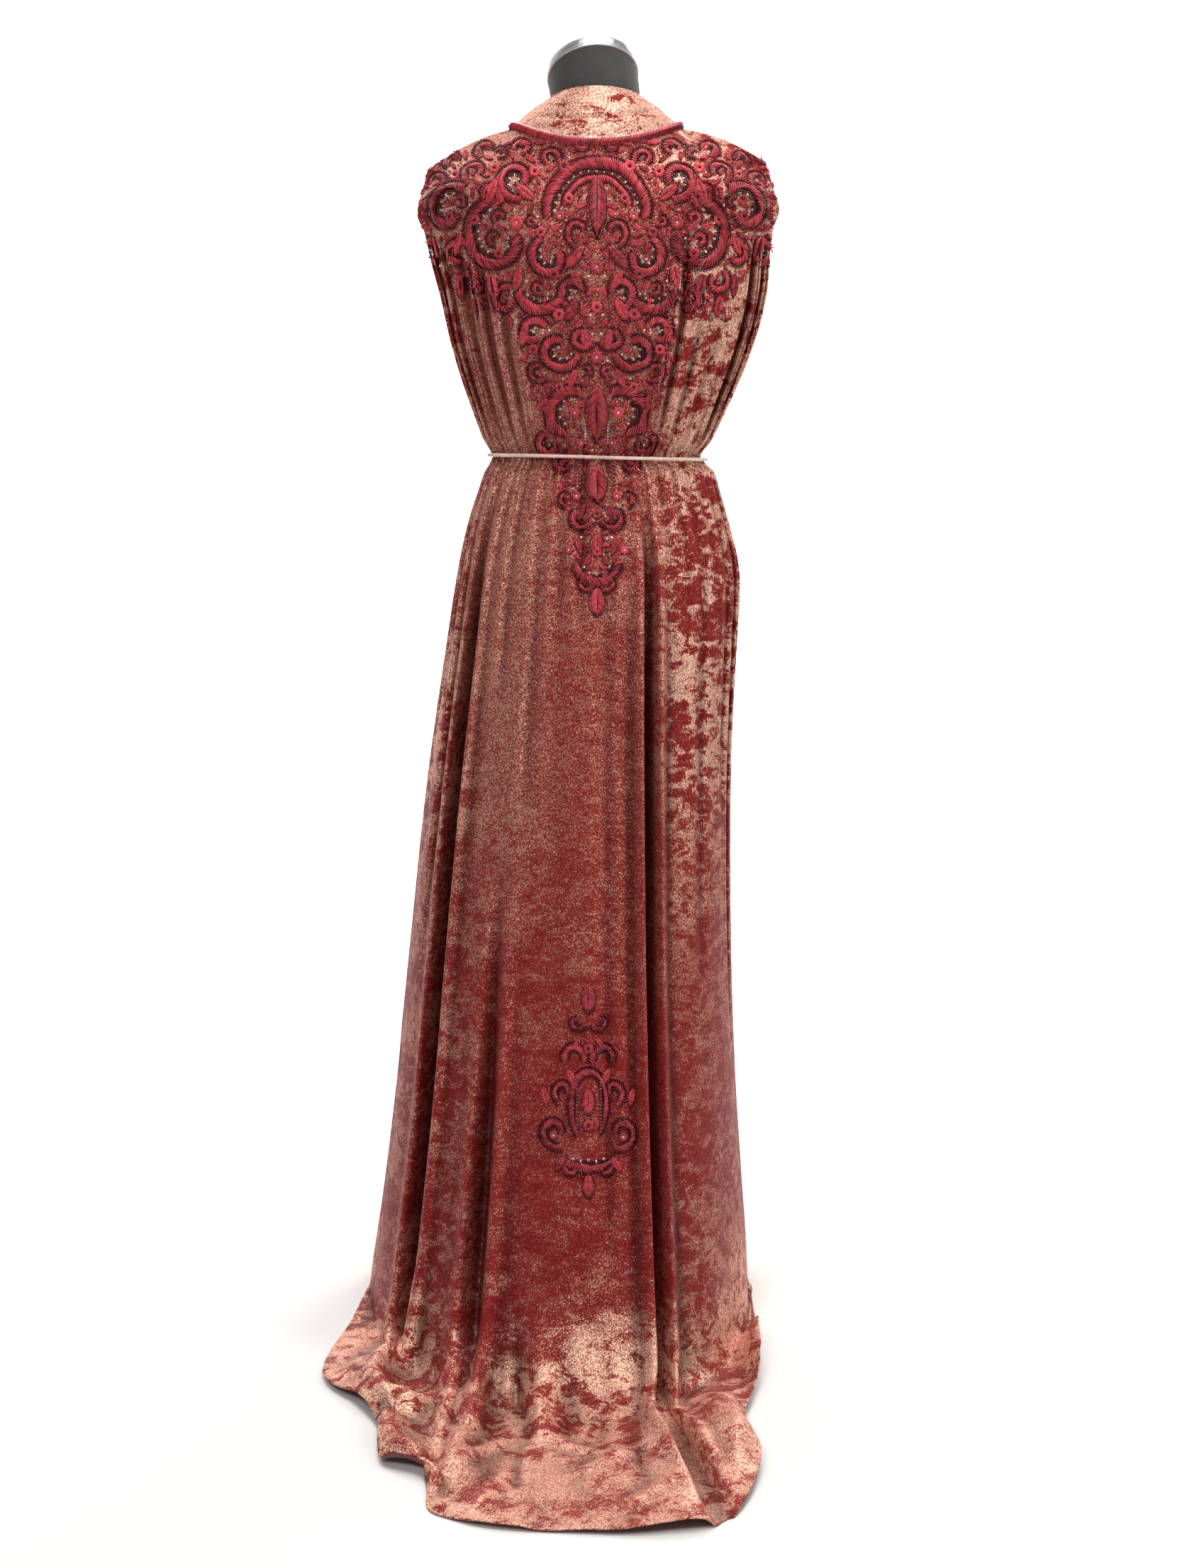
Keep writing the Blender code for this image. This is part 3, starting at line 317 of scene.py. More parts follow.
def through(points, at):
    # a smooth line through points, read at places that count the points from 0
    points = np.asarray(points, float)
    last = len(points) - 1
    index = np.clip(np.floor(at).astype(int), 0, last - 1)
    part = (at - index)[:, None]
    before, here = points[np.maximum(index - 1, 0)], points[index]
    after, beyond = points[index + 1], points[np.minimum(index + 2, last)]
    leave, arrive = (after - before) / 2.0, (beyond - here) / 2.0
    square, cube = part * part, part * part * part
    return ((2 * cube - 3 * square + 1) * here + (cube - 2 * square + part) * leave
            + (3 * square - 2 * cube) * after + (cube - square) * arrive)


def softNoise(x, y, cellX, cellY, seed):
    # smooth seeded hills from -1 to 1 over a lattice of cells
    lattice = np.random.default_rng(seed).uniform(-1.0, 1.0, (128, 128))
    x, y = x / cellX, y / cellY
    column, row = np.floor(x).astype(int), np.floor(y).astype(int)
    shareX, shareY = smooth(x - column), smooth(y - row)
    corners = [lattice[(column + dx) % 128, (row + dy) % 128] for dx, dy in ((0, 0), (1, 0), (0, 1), (1, 1))]
    low = corners[0] * (1 - shareX) + corners[1] * shareX
    high = corners[2] * (1 - shareX) + corners[3] * shareX
    return low * (1 - shareY) + high * shareY


def sectionPoint(section, across, side):
    angle = across * pi / 2
    reach = section.right if across > 0 else section.left
    depth = section.front if side > 0 else section.back
    return np.array([reach * sin(angle), side * depth * cos(angle), section.height])


def neckPoint(line, across, side):
    turn = across / kaftan["neckShare"] * pi / 2
    centre = line.front if side > 0 else line.back
    rise = abs(sin(turn)) ** 2.2 if side < 0 else abs(sin(turn))
    height = centre.z + (line.side.z - centre.z) * rise
    return np.array([line.side.x * sin(turn), centre.y * cos(turn), height])


def topPoint(across, side):
    share = abs(across)
    if share <= kaftan["neckShare"]:
        return neckPoint(neckSeam, across, side)
    along = (share - kaftan["neckShare"]) / (1.0 - kaftan["neckShare"])
    place = neckSeam.side.lerp(kaftan["shoulderTip"], along)
    way = 1.0 if across > 0 else -1.0
    height = place.z + kaftan["shoulderRound"] * sin(pi * along) + kaftan["shoulderTilt"] * way * along
    return np.array([way * place.x, 0.0, height])


def hemPoint(across):
    points = np.array(trainHem)
    at = np.interp(across, points[:, 0], np.arange(len(points)))
    return np.append(through(points[:, 1:], np.array([at]))[0], 0.0)


def respaced(line, count):
    along = distances(line[:, :3])
    return columnsAt(np.linspace(0.0, along[-1], count), along, line)


def panelLine(across, side):
    top = topPoint(across, side)
    bust = kaftan["bustHeight"]
    fit = (top[2] - bust) / (neckSeam.side.z - bust)
    points = [top]
    for section in sections:
        point = sectionPoint(section, across, side)
        if section.height > bust:
            point[2] = bust + (section.height - bust) * fit
        points.append(point)
    return points


def evenRows(points, first, last, count):
    # places between two sections, even along the line
    fine = np.linspace(first, last, 400)
    along = distances(through(points, fine))
    return np.interp(np.linspace(0.0, along[-1], count), along, fine)


def panelBase(side, columns, rows):
    # the panel without its folds, and how far down each point lies; on the floor that is below zero
    middle = panelLine(0.0, side)
    upper = np.concatenate([
        evenRows(middle, 0, kaftan["beltRow"], rows[0]),
        evenRows(middle, kaftan["beltRow"], kaftan["kneeRow"], rows[1])[1:],
    ])
    steps, lines = 160, []
    for across in columns:
        points = panelLine(across, side)
        above = through(points, upper)
        below = through(points, np.linspace(kaftan["kneeRow"], len(points) - 1, steps))
        above = np.column_stack([above, above[:, 2]])
        below = np.column_stack([below, below[:, 2]])
        if side < 0:
            foot, hem = below[-1, :3], hemPoint(across)
            share = np.linspace(0.0, 1.0, steps)[1:, None]
            flat = np.column_stack([foot + (hem - foot) * share, -np.linalg.norm(hem - foot) * share])
            below = np.concatenate([below, flat])
        lines.append(np.concatenate([above, respaced(below, rows[2])[1:]]))
    lines = np.stack(lines, axis=1)
    return lines[..., :3], lines[..., 3]


def pleatDepth(pleat, drop):
    belt, gather = kaftan["beltHeight"], 0.0028
    rise = smooth((pleat.start - drop) / 0.09)
    above = rise * (gather + (pleat.bodice - gather) * smooth((drop - belt) / 0.10))
    if pleat.start < belt:
        gather = 0.0
    opened = smooth((min(belt, pleat.start) - drop) / pleat.opens)
    below = (gather + (pleat.skirt - gather) * opened) * smooth((drop - pleat.end) / 0.16)
    return np.where(drop > belt, above, below)


def folded(across, drop, pleats):
    depth = np.zeros_like(drop)
    onFloor = smooth(-drop / 0.30)
    for pleat in pleats:
        offset = (across - pleat.across) / (pleat.width * (1.0 - 0.45 * onFloor))
        valley = np.exp(-offset**4) if pleat is backSlit else np.exp(-offset**2)
        shape = 0.30 * (1.0 - onFloor) * np.exp(-(np.abs(offset) - 1.9) ** 2) - valley * (1.0 - 0.88 * onFloor)
        depth += pleatDepth(pleat, drop) * shape
    return depth


def surfaceNormals(grid, side):
    return unit(np.cross(np.gradient(grid, axis=0), np.gradient(grid, axis=1)) * -side)


def creased(points, low):
    # how deep the small creases of the train are at each point
    depth = np.zeros(points.shape[:2])
    for line in trainCreases:
        start = np.array([line.x0, line.y0])
        run = np.array([line.x1, line.y1]) - start
        away = points[..., :2] - start
        share = np.clip(away @ run / (run @ run), 0.0, 1.0)
        distance = np.linalg.norm(away - share[..., None] * run, axis=2)
        ends = np.sin(pi * np.clip(share, 0.02, 1.0)) ** 0.5
        depth += low * line.depth * np.exp(-((distance / line.width) ** 2)) * ends
    return depth


def trainLift(points, low):
    lift = np.zeros(points.shape[:2])
    for roll in trainRolls:
        line = through(np.array(roll.line) / 1000, np.linspace(0, len(roll.line) - 1, 40))
        away = points[..., None, :2] - line
        nearest = (away ** 2).sum(axis=-1).argmin(axis=-1)
        run = np.gradient(line, axis=0)[nearest]
        offset = np.take_along_axis(away, nearest[..., None, None], axis=-2)[..., 0, :]
        onLeft = run[..., 0] * offset[..., 1] - run[..., 1] * offset[..., 0] > 0
        wide = np.where(onLeft, roll.leftWidth, roll.rightWidth)
        taper = smooth((1.08 - nearest / (len(line) - 1)) / 0.45)
        lift = np.maximum(lift, roll.height * taper * np.exp(-(offset ** 2).sum(axis=-1) / wide ** 2))
    return lift * low


def liftClear(tree, grid, outward):
    # moves points out to where the inner face clears the dress form
    need = kaftan["cloth"] + kaftan["clearance"]
    for row, column in zip(*np.nonzero(grid[..., 2] > 0.78)):
        place = Vector(grid[row, column])
        nearest, normal, _, _ = tree.find_nearest(place)
        outside = (place - nearest).dot(normal)
        if outside < need:
            grid[row, column] += np.array(normal) * (need - outside)


def beltGathers(across, drop, seed, count):
    # short uneven gathers that the cord draws in, above and below it
    picks = np.random.default_rng(seed)
    depth = np.zeros_like(drop)
    belt = kaftan["beltHeight"]
    for place in np.linspace(-0.97, 0.97, count):
        place += picks.uniform(-0.012, 0.012)
        width = picks.uniform(0.013, 0.021)
        deep = picks.uniform(0.0012, 0.0030)
        up, down = picks.uniform(0.03, 0.09), picks.uniform(0.05, 0.20)
        lean = picks.uniform(-0.15, 0.15)
        fade = np.where(drop > belt, smooth(1 - (drop - belt) / up), smooth(1 - (belt - drop) / down))
        offset = (across - place - lean * (belt - drop) * 0.3) / width
        depth -= deep * fade * np.exp(-offset**2)
    return depth


def floorLie(drop):
    # how far the cloth has come to lie on the floor, 0 to 1
    return smooth((0.05 - drop) / 0.14)


def trainWaves(grid, across, drop, low):
    # the hem and the cloth near it lie in low waves, and the slit runs on between two rounded lips
    offset = across - backSlit.across
    lip = np.exp(-(((offset - 0.115) / np.where(offset > 0.115, 0.13, 0.060)) ** 2))
    lip += 0.42 * np.exp(-(((offset + 0.090) / 0.055) ** 2))
    hem = 0.25 + 0.75 * smooth((drop - drop[-1]) / 0.07)
    grid[..., 2] += low * kaftan["slitLip"] * lip * floorLie(drop) * hem
    wave, run = 0.0070, across * 0.30
    # depth, x and y with their shift, cells across and along, seed
    for deep, x, y, shift, cellX, cellY, seed in (
            (0.0085, run, drop, 4.0, 0.042, 0.26, 31), (0.0022, run, drop, 6.0, 0.018, 0.11, 32),
            (0.0007, grid[..., 0], grid[..., 1], 8.0, 0.014, 0.020, 33)):
        wave = wave + deep * softNoise(x + shift, y + shift, cellX, cellY, seed)
    grid[..., 2] += smooth(-drop / 0.12) * np.maximum(wave, 0.0)
    grid[..., 2] *= 1.0 - floorLie(drop) * np.exp(-((offset / 0.030) ** 4))


def panelSurface(side, columns, rows, pleats, gathers, formTree):
    # the outer face of a panel with all its folds, its outward directions, and how far down each point is
    base, drop = panelBase(side, columns, rows)
    across = np.broadcast_to(columns, drop.shape)
    top, bottom, gape, start = kaftan["armhole"]
    down = np.clip((top - drop) / (top - bottom), 0.0, 1.0)
    base[..., 1] += side * gape * np.sin(pi * down) * smooth((np.abs(across) - start) / (1.0 - start))
    outward = surfaceNormals(base, side)
    edge = smooth((1.0 - np.abs(across)) / kaftan["seamFlat"])
    depth = sum(folded(across, drop, kind) for kind in pleats) + beltGathers(across, drop, *gathers)
    # soft uneven drape: long troughs down the skirt, small ones under the bust and at the foot
    belt = kaftan["beltHeight"]
    hang = smooth((belt - drop) / 0.25)
    bust = smooth((1.40 - drop) / 0.10) * smooth((drop - belt) / 0.05)
    foot = smooth((0.20 - drop) / 0.20)
    # where, depth, shift, cells across and along, seed
    for zone, deep, shift, cellX, cellY, seed in (
            (hang, 0.0040, 3.0, 0.060, 0.60, 21), (hang, 0.0009, 5.0, 0.024, 0.16, 22),
            (bust, 0.0012, 7.0, 0.016, 0.14, 23),
            (foot, 0.0040, 9.0, 0.045, 0.24, 24), (foot, 0.0007, 11.0, 0.020, 0.045, 25)):
        depth += zone * deep * softNoise(across * 0.36 + shift, drop, cellX, cellY, seed)
    # toward the sides the folds open to the viewer rather than square to the cloth
    turn = 0.80 * smooth((np.abs(across) - 0.10) / 0.30) * smooth((1.0 - np.abs(across)) / 0.12)
    fall = outward * (1.0 - turn)[..., None] + np.array([0.0, side, 0.0]) * turn[..., None]
    grid = base + unit(fall) * (depth * edge)[..., None]
    liftClear(formTree, grid, outward)
    low = smooth((kaftan["floorZone"] - grid[..., 2]) / kaftan["floorZone"])
    lift = trainLift(grid, low) * edge - creased(grid, low)
    grid[..., 2] += np.where(drop < kaftan["floorZone"], lift, 0.0)
    if side < 0:
        trainWaves(grid, across, drop, low)
    outward = surfaceNormals(grid, side)
    grid[..., 2] = np.maximum(grid[..., 2], kaftan["cloth"] * np.maximum(outward[..., 2], 0.0))
    grid[:, 0, 1] = grid[:, -1, 1] = side * 0.00015
    return grid, outward, drop


# orders of the corners of a grid's faces: on the back's outer side, on its inner side, and round a tube
outerTurn, innerTurn, roundTurn = (0, 1, 2, 3), (3, 2, 1, 0), (0, 3, 2, 1)


def quads(rows, columns, first=0, turn=roundTurn, closed=True, ringed=False):
    # faces over a grid of points counted row by row; closed joins its last column to its first, ringed its last row
    row, column = np.meshgrid(np.arange(rows - (not ringed)), np.arange(columns - (not closed)), indexing="ij")
    a, b = first + row * columns + column, first + row * columns + (column + 1) % columns
    step = (row + 1) % rows * columns - row * columns
    corners = (a, a + step, b + step, b)
    return list(map(tuple, np.stack([corners[i] for i in turn], axis=-1).reshape(-1, 4).tolist()))


def meshPiece(name, points, faces, materials, faceMaterials=None, attributes=None):
    mesh = bpy.data.meshes.new(name)
    mesh.from_pydata(np.asarray(points, float).tolist(), [], faces)
    for made in materials:
        mesh.materials.append(made)
    if faceMaterials is not None:
        mesh.polygons.foreach_set("material_index", np.asarray(faceMaterials, np.int32))
    addAttributes(mesh, attributes or {})
    mesh.update()
    mesh.shade_smooth()
    return addObject(name, mesh)


def addAttributes(mesh, attributes):
    # one number or one vector for each point
    for key, values in attributes.items():
        values = np.asarray(values, np.float32)
        kind, field = ("FLOAT", "value") if values.ndim == 1 else ("FLOAT_VECTOR", "vector")
        mesh.attributes.new(key, kind, "POINT").data.foreach_set(field, values.ravel())


def handOver(piece, slot, *nodes):
    # a finished piece goes to the frame, in place of the nodes that it stands for
    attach(piece, "root")
    if nodes:
        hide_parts(*nodes)
    print(piece.name, "triangles:", sum(len(face.vertices) - 2 for face in piece.data.polygons))
    return piece


def paintedFoldShading(grid, outward):
    # how deep each point lies in a fold against the cloth round it, from -1 on a ridge to 1 in a valley; the velvet
    # turns it into painted shade in the valleys and a painted highlight on the ridges
    soft = grid.copy()
    for _ in range(26):
        soft[:, 1:-1] = (soft[:, :-2] + 2.0 * soft[:, 1:-1] + soft[:, 2:]) / 4.0
    for _ in range(5):
        soft[1:-1] = (soft[:-2] + 2.0 * soft[1:-1] + soft[2:]) / 4.0
    return np.clip(((soft - grid) * outward).sum(axis=2) / kaftan["foldShadingDepth"], -1.0, 1.0)


def shellPiece(name, outer, outward, side, thickness, materials, shadow=-1.0):
    # a closed cloth wall: a fine outer face, a coarser inner face, and rims between them
    rows, columns = outer.shape[:2]
    inner = (outer - outward * thickness)[::2, ::2]
    inner[..., 2] = np.maximum(inner[..., 2], 0.0)
    innerRows, innerColumns = inner.shape[:2]
    first = rows * columns
    turns = (outerTurn, innerTurn)[:: -side]  # the front faces the other way
    outerFaces = quads(rows, columns, 0, turns[0], False)
    innerFaces = quads(innerRows, innerColumns, first, turns[1], False)
    rims = []

    def rim(outerLine, innerLine, flip):
        for i in range(len(innerLine) - 1):
            o0, o1, o2 = outerLine[2 * i : 2 * i + 3]
            i0, i1 = innerLine[i], innerLine[i + 1]
            rims.extend(face[::-1] if flip else face for face in ((o0, o1, i0), (o1, o2, i1), (o1, i1, i0)))

    out = np.arange(first).reshape(rows, columns)
    into = first + np.arange(innerRows * innerColumns).reshape(innerRows, innerColumns)
    rim(out[0].tolist(), into[0].tolist(), side > 0)
    rim(out[-1].tolist(), into[-1].tolist(), side < 0)
    rim(out[:, 0].tolist(), into[:, 0].tolist(), side < 0)
    rim(out[:, -1].tolist(), into[:, -1].tolist(), side > 0)
    points = np.concatenate([outer.reshape(-1, 3), inner.reshape(-1, 3)])
    # painted fold shade and ridge highlight for each point, darker still where the painted slit shadow is deeper
    foldShading = np.maximum(paintedFoldShading(outer, outward), shadow)
    foldShading = np.concatenate([foldShading.ravel(), np.zeros(inner.size // 3)])
    kinds = [0] * len(outerFaces) + [1] * len(innerFaces) + [0] * len(rims)
    return meshPiece(name, points, outerFaces + innerFaces + rims, materials, kinds, {"foldShading": foldShading})


def gridTree(*grids, closed=False):
    points, faces = [], []
    for grid in grids:
        rows, columns = grid.shape[:2]
        faces += quads(rows, columns, len(points), roundTurn if closed else outerTurn, closed)
        points.extend(map(tuple, grid.reshape(-1, 3).tolist()))
    return BVHTree.FromPolygons(points, faces)


# The dress form, from its flat bottom to the top of its neck
form = {
    "sides": 96,
    "capSides": 128,
    "neckRadius": 0.0566,
    "capSlant": radians(28),
    "capRoll": radians(4.5),
    "capHeight": 0.016,
    "capLip": 0.0012,
    "capTop": 1.621,
    "neckLean": -0.0045,
}
formSections = table(Section, (
    (800, 118, 118, 78, 72), (806, 140, 140, 94, 86), (830, 151, 151, 102, 94), (900, 156, 156, 106, 98),
    (980, 147, 147, 100, 96), (1050, 126, 126, 88, 90), (1100, 116, 116, 82, 83), (1165, 124, 124, 86, 91),
    (1235, 136, 136, 92, 106), (1300, 150, 150, 98, 116), (1360, 166, 166, 102, 112), (1405, 180, 180, 98, 96),
    (1440, 190, 190, 84, 76), (1453, 190, 190, 66, 58), (1467, 180, 180, 56, 48), (1488, 144.5, 144.5, 49, 46),
    (1502, 108.5, 108.5, 50, 47), (1514, 80, 80, 54, 49), (1526, 63.5, 63.5, 58.5, 52.5),
    (1536, 56.6, 56.6, 56.6, 54),
))


def slantedRing(radius, rise, sides):
    # a ring on the neck's slanted top, higher at the back
    angles = np.arange(sides) * 2 * pi / sides
    slant, roll = form["capSlant"], form["capRoll"]
    x, y = radius * np.cos(angles) + form["neckLean"], radius * np.sin(angles)
    top = form["capTop"] - form["capHeight"] / cos(slant) - form["neckRadius"] * tan(slant)
    level = np.stack([x, y, top - y * tan(slant) + x * tan(roll)], axis=1)
    return level + np.array([-sin(roll), sin(slant), cos(slant)]) * rise


def ringsPiece(name, rings, material):
    # a closed solid through level or slanted rings, with flat ends
    sides, count = len(rings[0]), len(rings)
    faces = [tuple(range(sides))[::-1], *quads(count, sides), tuple(range((count - 1) * sides, count * sides))]
    piece = meshPiece(name, np.concatenate(rings), faces, [material])
    piece.data.set_sharp_from_angle(angle=radians(38))
    return piece


def formRings():
    # smooth sections between the form's own, and a neck that runs up to its slanted top
    sides = form["sides"]
    angles = np.arange(sides) * 2 * pi / sides
    at = np.concatenate([[0, 0.5], np.linspace(1, len(formSections) - 1, 90)])
    rings = []
    for height, left, right, back, front in through(formSections, at):
        depth = np.where(np.sin(angles) > 0, front, back)
        rings.append(np.stack([right * np.cos(angles), depth * np.sin(angles), np.full(sides, height)], axis=1))
    foot, top = rings[-1], slantedRing(form["neckRadius"], 0.0, sides)
    return rings + [foot + (top - foot) * share for share in np.linspace(0.0, 1.0, 9)[1:]]


def shaderGroup(name, inputs, outputs):
    # an empty shared group and its two ends; an input without a value is a vector
    tree = bpy.data.node_groups.new(name, "ShaderNodeTree")
    for label, value in inputs.items():
        kind = "NodeSocketVector" if value is None else "NodeSocketFloat"
        socket = tree.interface.new_socket(label, in_out="INPUT", socket_type=kind)
        if value is not None:
            socket.default_value = value
    for label in outputs:
        kind = "NodeSocketVector" if label == "Normal" else "NodeSocketFloat"
        tree.interface.new_socket(label, in_out="OUTPUT", socket_type=kind)
    return Wiring(tree), tree.nodes.new("NodeGroupInput").outputs, tree.nodes.new("NodeGroupOutput").inputs


def glitterGroup():
    # metallic threads that show as small grains: which grains shine, how bright each is (its own tone with a painted
    # glint), and how each is tilted
    given = {"Place": None, "Grains per metre": 1000.0, "Share": 0.5, "Tilt": 0.5}
    n, given, result = shaderGroup("metallicGrains", given, ("Mask", "Glow", "Normal"))
    cells = n.add("ShaderNodeTexVoronoi", {"Vector": given["Place"], "Scale": given["Grains per metre"]}, None)
    picks = n.add("ShaderNodeSeparateColor", {"Color": cells["Color"]}, None)
    edge = n.maths("SUBTRACT", given["Share"], picks["Red"])
    mask = n.ramp(edge, -0.12, 0.12, kind="SMOOTHSTEP")
    centred = n.vector("SUBTRACT", cells["Color"], (0.5, 0.5, 0.5))
    turned = n.scaled(centred, n.times(given["Tilt"], mask))
    facing = n.add("ShaderNodeNewGeometry", output=1)
    normal = n.vector("NORMALIZE", n.vector("ADD", facing, turned))
    n.put(result, {"Mask": mask, "Glow": picks["Green"], "Normal": normal})
    return n.tree


def patchGroup():
    # ragged blotches, wider than tall, with edges frayed along the pile: how much of the thread shows through, and how
    # far the cloth lies on the floor for its painted light
    n, given, result = shaderGroup("crushedPatches", {"Place": None, "Level": 0.5, "Firmness": 0.0},
                                   ("Share", "Crush", "Depth", "PaintedFloorLight"))

    def noise(scale, detail, rough, distortion=0.0, shift=(0.0, 0.0, 0.0)):
        return n.noise(n.vector("MULTIPLY_ADD", given["Place"], scale, shift), 1.0, detail, rough, distortion)

    def ramp(value, start, stop, low=0.0, high=1.0):
        return n.ramp(value, start, stop, low, high, "SMOOTHSTEP")

    broad = noise((9.0, 9.0, 14.0), 3.0, 0.55, 0.5)
    middle = noise((36.0, 36.0, 64.0), 6.0, 0.68, 0.6, (3.1, 7.7, 1.9))
    pile = noise((520.0, 520.0, 150.0), 2.0, 0.6, 0.0, (1.3, 2.9, 5.1))
    hills = n.timesPlus(pile, 0.16, n.timesPlus(middle, 0.58, n.times(broad, 0.26)))
    offset = n.maths("SUBTRACT", hills, given["Level"])
    # crushed hard toward the sides, the shoulders and on the floor, evenly glittering over the middle of the skirt
    parts = n.add("ShaderNodeSeparateXYZ", {"Vector": given["Place"]}, None)
    sides = n.maths("ADD", ramp(parts["X"], 0.05, 0.12), ramp(parts["X"], -0.12, -0.21))
    sides = n.times(sides, ramp(parts["Z"], 0.40, 0.80, 0.30, 1.0))
    low = ramp(n.timesPlus(broad, -0.24, parts["Z"]), 0.02, -0.12)
    region = n.maths("MAXIMUM", n.maths("MAXIMUM", sides, n.times(low, 0.72)), given["Firmness"])
    wander = ramp(noise((5.0, 5.0, 4.0), 3.0, 0.6, 0.0, (9.2, 4.4, 3.3)), 0.35, 0.65, -0.20, 0.16)
    hardness = n.maths("ADD", region, wander, clamp=True)
    # painted shade and light: less thread shows lower down, so the skirt darkens towards the bottom, and more on the
    # right hip and the floor, which brightens them
    hip = n.times(ramp(parts["X"], -0.03, -0.11, 0.0, 0.20), ramp(parts["Z"], 0.35, 0.85))
    shareAndPaintedLight = n.timesPlus(low, 0.42, n.maths("ADD", ramp(parts["Z"], 0.25, 0.95, 0.12, 0.30), hip))
    evenShare = n.maths("ADD", offset, shareAndPaintedLight, clamp=True)
    # partly pattern and partly painted light: more of the thread shows on the floor and over most of the train, which
    # brightens it
    patternAndTrainLight = n.maths("ADD", n.timesPlus(low, 0.008, offset), n.times(ramp(parts["Y"], -0.36, -0.60), 0.024))
    torn = ramp(patternAndTrainLight, -0.030, 0.022, 0.03, 0.93)
    n.put(result, {"Share": n.add("ShaderNodeMix", {0: hardness, 2: evenShare, 3: torn}), "PaintedFloorLight": low, "Depth": middle,
                   "Crush": noise((70.0, 70.0, 80.0), 3.0, 0.6, 0.4, (5.0, 1.0, 2.2))})
    return n.tree


velvetLook = {
    "grains": 1060.0,
    "tilt": 0.46,
    "level": 0.508,
    "crimson": ((0.105, 0.007, 0.008, 1.0), (0.315, 0.022, 0.024, 1.0)),
    "champagne": ((0.26, 0.070, 0.054, 1.0), (0.95, 0.62, 0.47, 1.0)),
}


def velvetMaterial(name, level, firmness):
    made, n = newMaterial(name)
    place = n.place()
    patches = n.add("ShaderNodeGroup", {"Place": place, "Level": level, "Firmness": firmness}, None,
                    node_tree=groups["patches"])
    grains = n.add("ShaderNodeGroup", {"Place": place, "Share": patches["Share"], "Tilt": velvetLook["tilt"],
                                       "Grains per metre": velvetLook["grains"]}, None, node_tree=groups["glitter"])
    dim, light = velvetLook["champagne"]
    # crushed pile lets some of the thread's colour through between the grains
    red = n.mix(n.times(patches["Share"], 0.54), n.mix(patches["Depth"], *velvetLook["crimson"]), dim)
    # each grain's own tone carries a painted glint, brighter where more thread shows
    glow = n.times(grains["Glow"], n.ramp(patches["Share"], 0.0, 1.0, 0.50, 1.12), clamp=True)
    colour = n.mix(grains["Mask"], red, n.mix(glow, dim, light))
    # painted shade darkens the bottom of each fold and a painted highlight brightens its edge
    foldShading = n.attribute("foldShading")
    shade = n.times(n.ramp(foldShading, 0.0, 1.0, 1.0, 0.46), n.ramp(foldShading, 0.0, -1.0, 1.0, 1.14))
    # painted light: the cloth lying on the floor is brightened
    shade = n.times(shade, n.timesPlus(patches["PaintedFloorLight"], 0.30, 1.0))
    crushed = n.bump(patches["Crush"], 0.55, 0.0030, Normal=grains["Normal"])
    n.shade({"Base Color": n.scaled(colour, shade), "Metallic": n.times(grains["Mask"], 0.40), "Normal": crushed,
             "Roughness": n.ramp(grains["Mask"], 0.0, 1.0, 0.52, 0.42), "Specular IOR Level": 0.10,
             "Specular Tint": (0.80, 0.36, 0.30, 1.0)})
    return made


def plainCloth(name, colour, rough, threads):
    # a plain fine weave, for the wrong side of the velvet, the form's jersey and the cord
    made, n = newMaterial(name)
    place = n.place()
    weave = n.add("ShaderNodeTexVoronoi", {"Vector": place, "Scale": threads}, "Distance")
    mottle = n.ramp(n.noise(place, 38.0, 5.0, 0.6), 0.3, 0.7, 0.72, 1.25)
    n.shade({"Base Color": n.scaled(colour, mottle), "Roughness": rough, "Normal": n.bump(weave, 0.6, 0.0006),
             "Sheen Weight": 0.25, "Sheen Roughness": 0.5})
    return made


def metalMaterial(name, colour, rough, wave):
    # polished or brushed metal with slight waves round the axis and fine scratches
    made, n = newMaterial(name)
    place = n.place()
    parts = n.add("ShaderNodeSeparateXYZ", {"Vector": place}, None)
    around = n.add("ShaderNodeCombineXYZ", {"X": n.maths("ARCTAN2", parts["Y"], parts["X"])})
    scratch = n.noise(place, 260.0, 3.0, 0.6)
    waves = n.bump(n.noise(around, 3.2, 3.0, 0.5), wave, 0.010)
    n.shade({"Base Color": (*colour, 1.0), "Metallic": 1.0, "Normal": n.bump(scratch, 0.05, 0.0005, Normal=waves),
             "Roughness": n.ramp(scratch, 0.3, 0.7, rough * 0.8, rough * 1.3)})
    return made


def beadMaterial(name, deep, bright, rough, coat, metallic=0.0):
    # glass and thread beads; each bead's tone comes from its own attribute
    made, n = newMaterial(name)
    streak = n.noise(n.place(), 900.0, 2.0, 0.6)
    level = n.ramp(n.timesPlus(streak, 0.5, n.attribute("tone")), 0.15, 1.35)
    n.shade({"Base Color": n.mix(level, (*deep, 1.0), (*bright, 1.0)), "Roughness": rough, "Metallic": metallic,
             "Normal": n.bump(streak, 0.25, 0.0004), "Specular IOR Level": 0.20,
             "Coat Weight": coat, "Coat Roughness": 0.10})
    return made


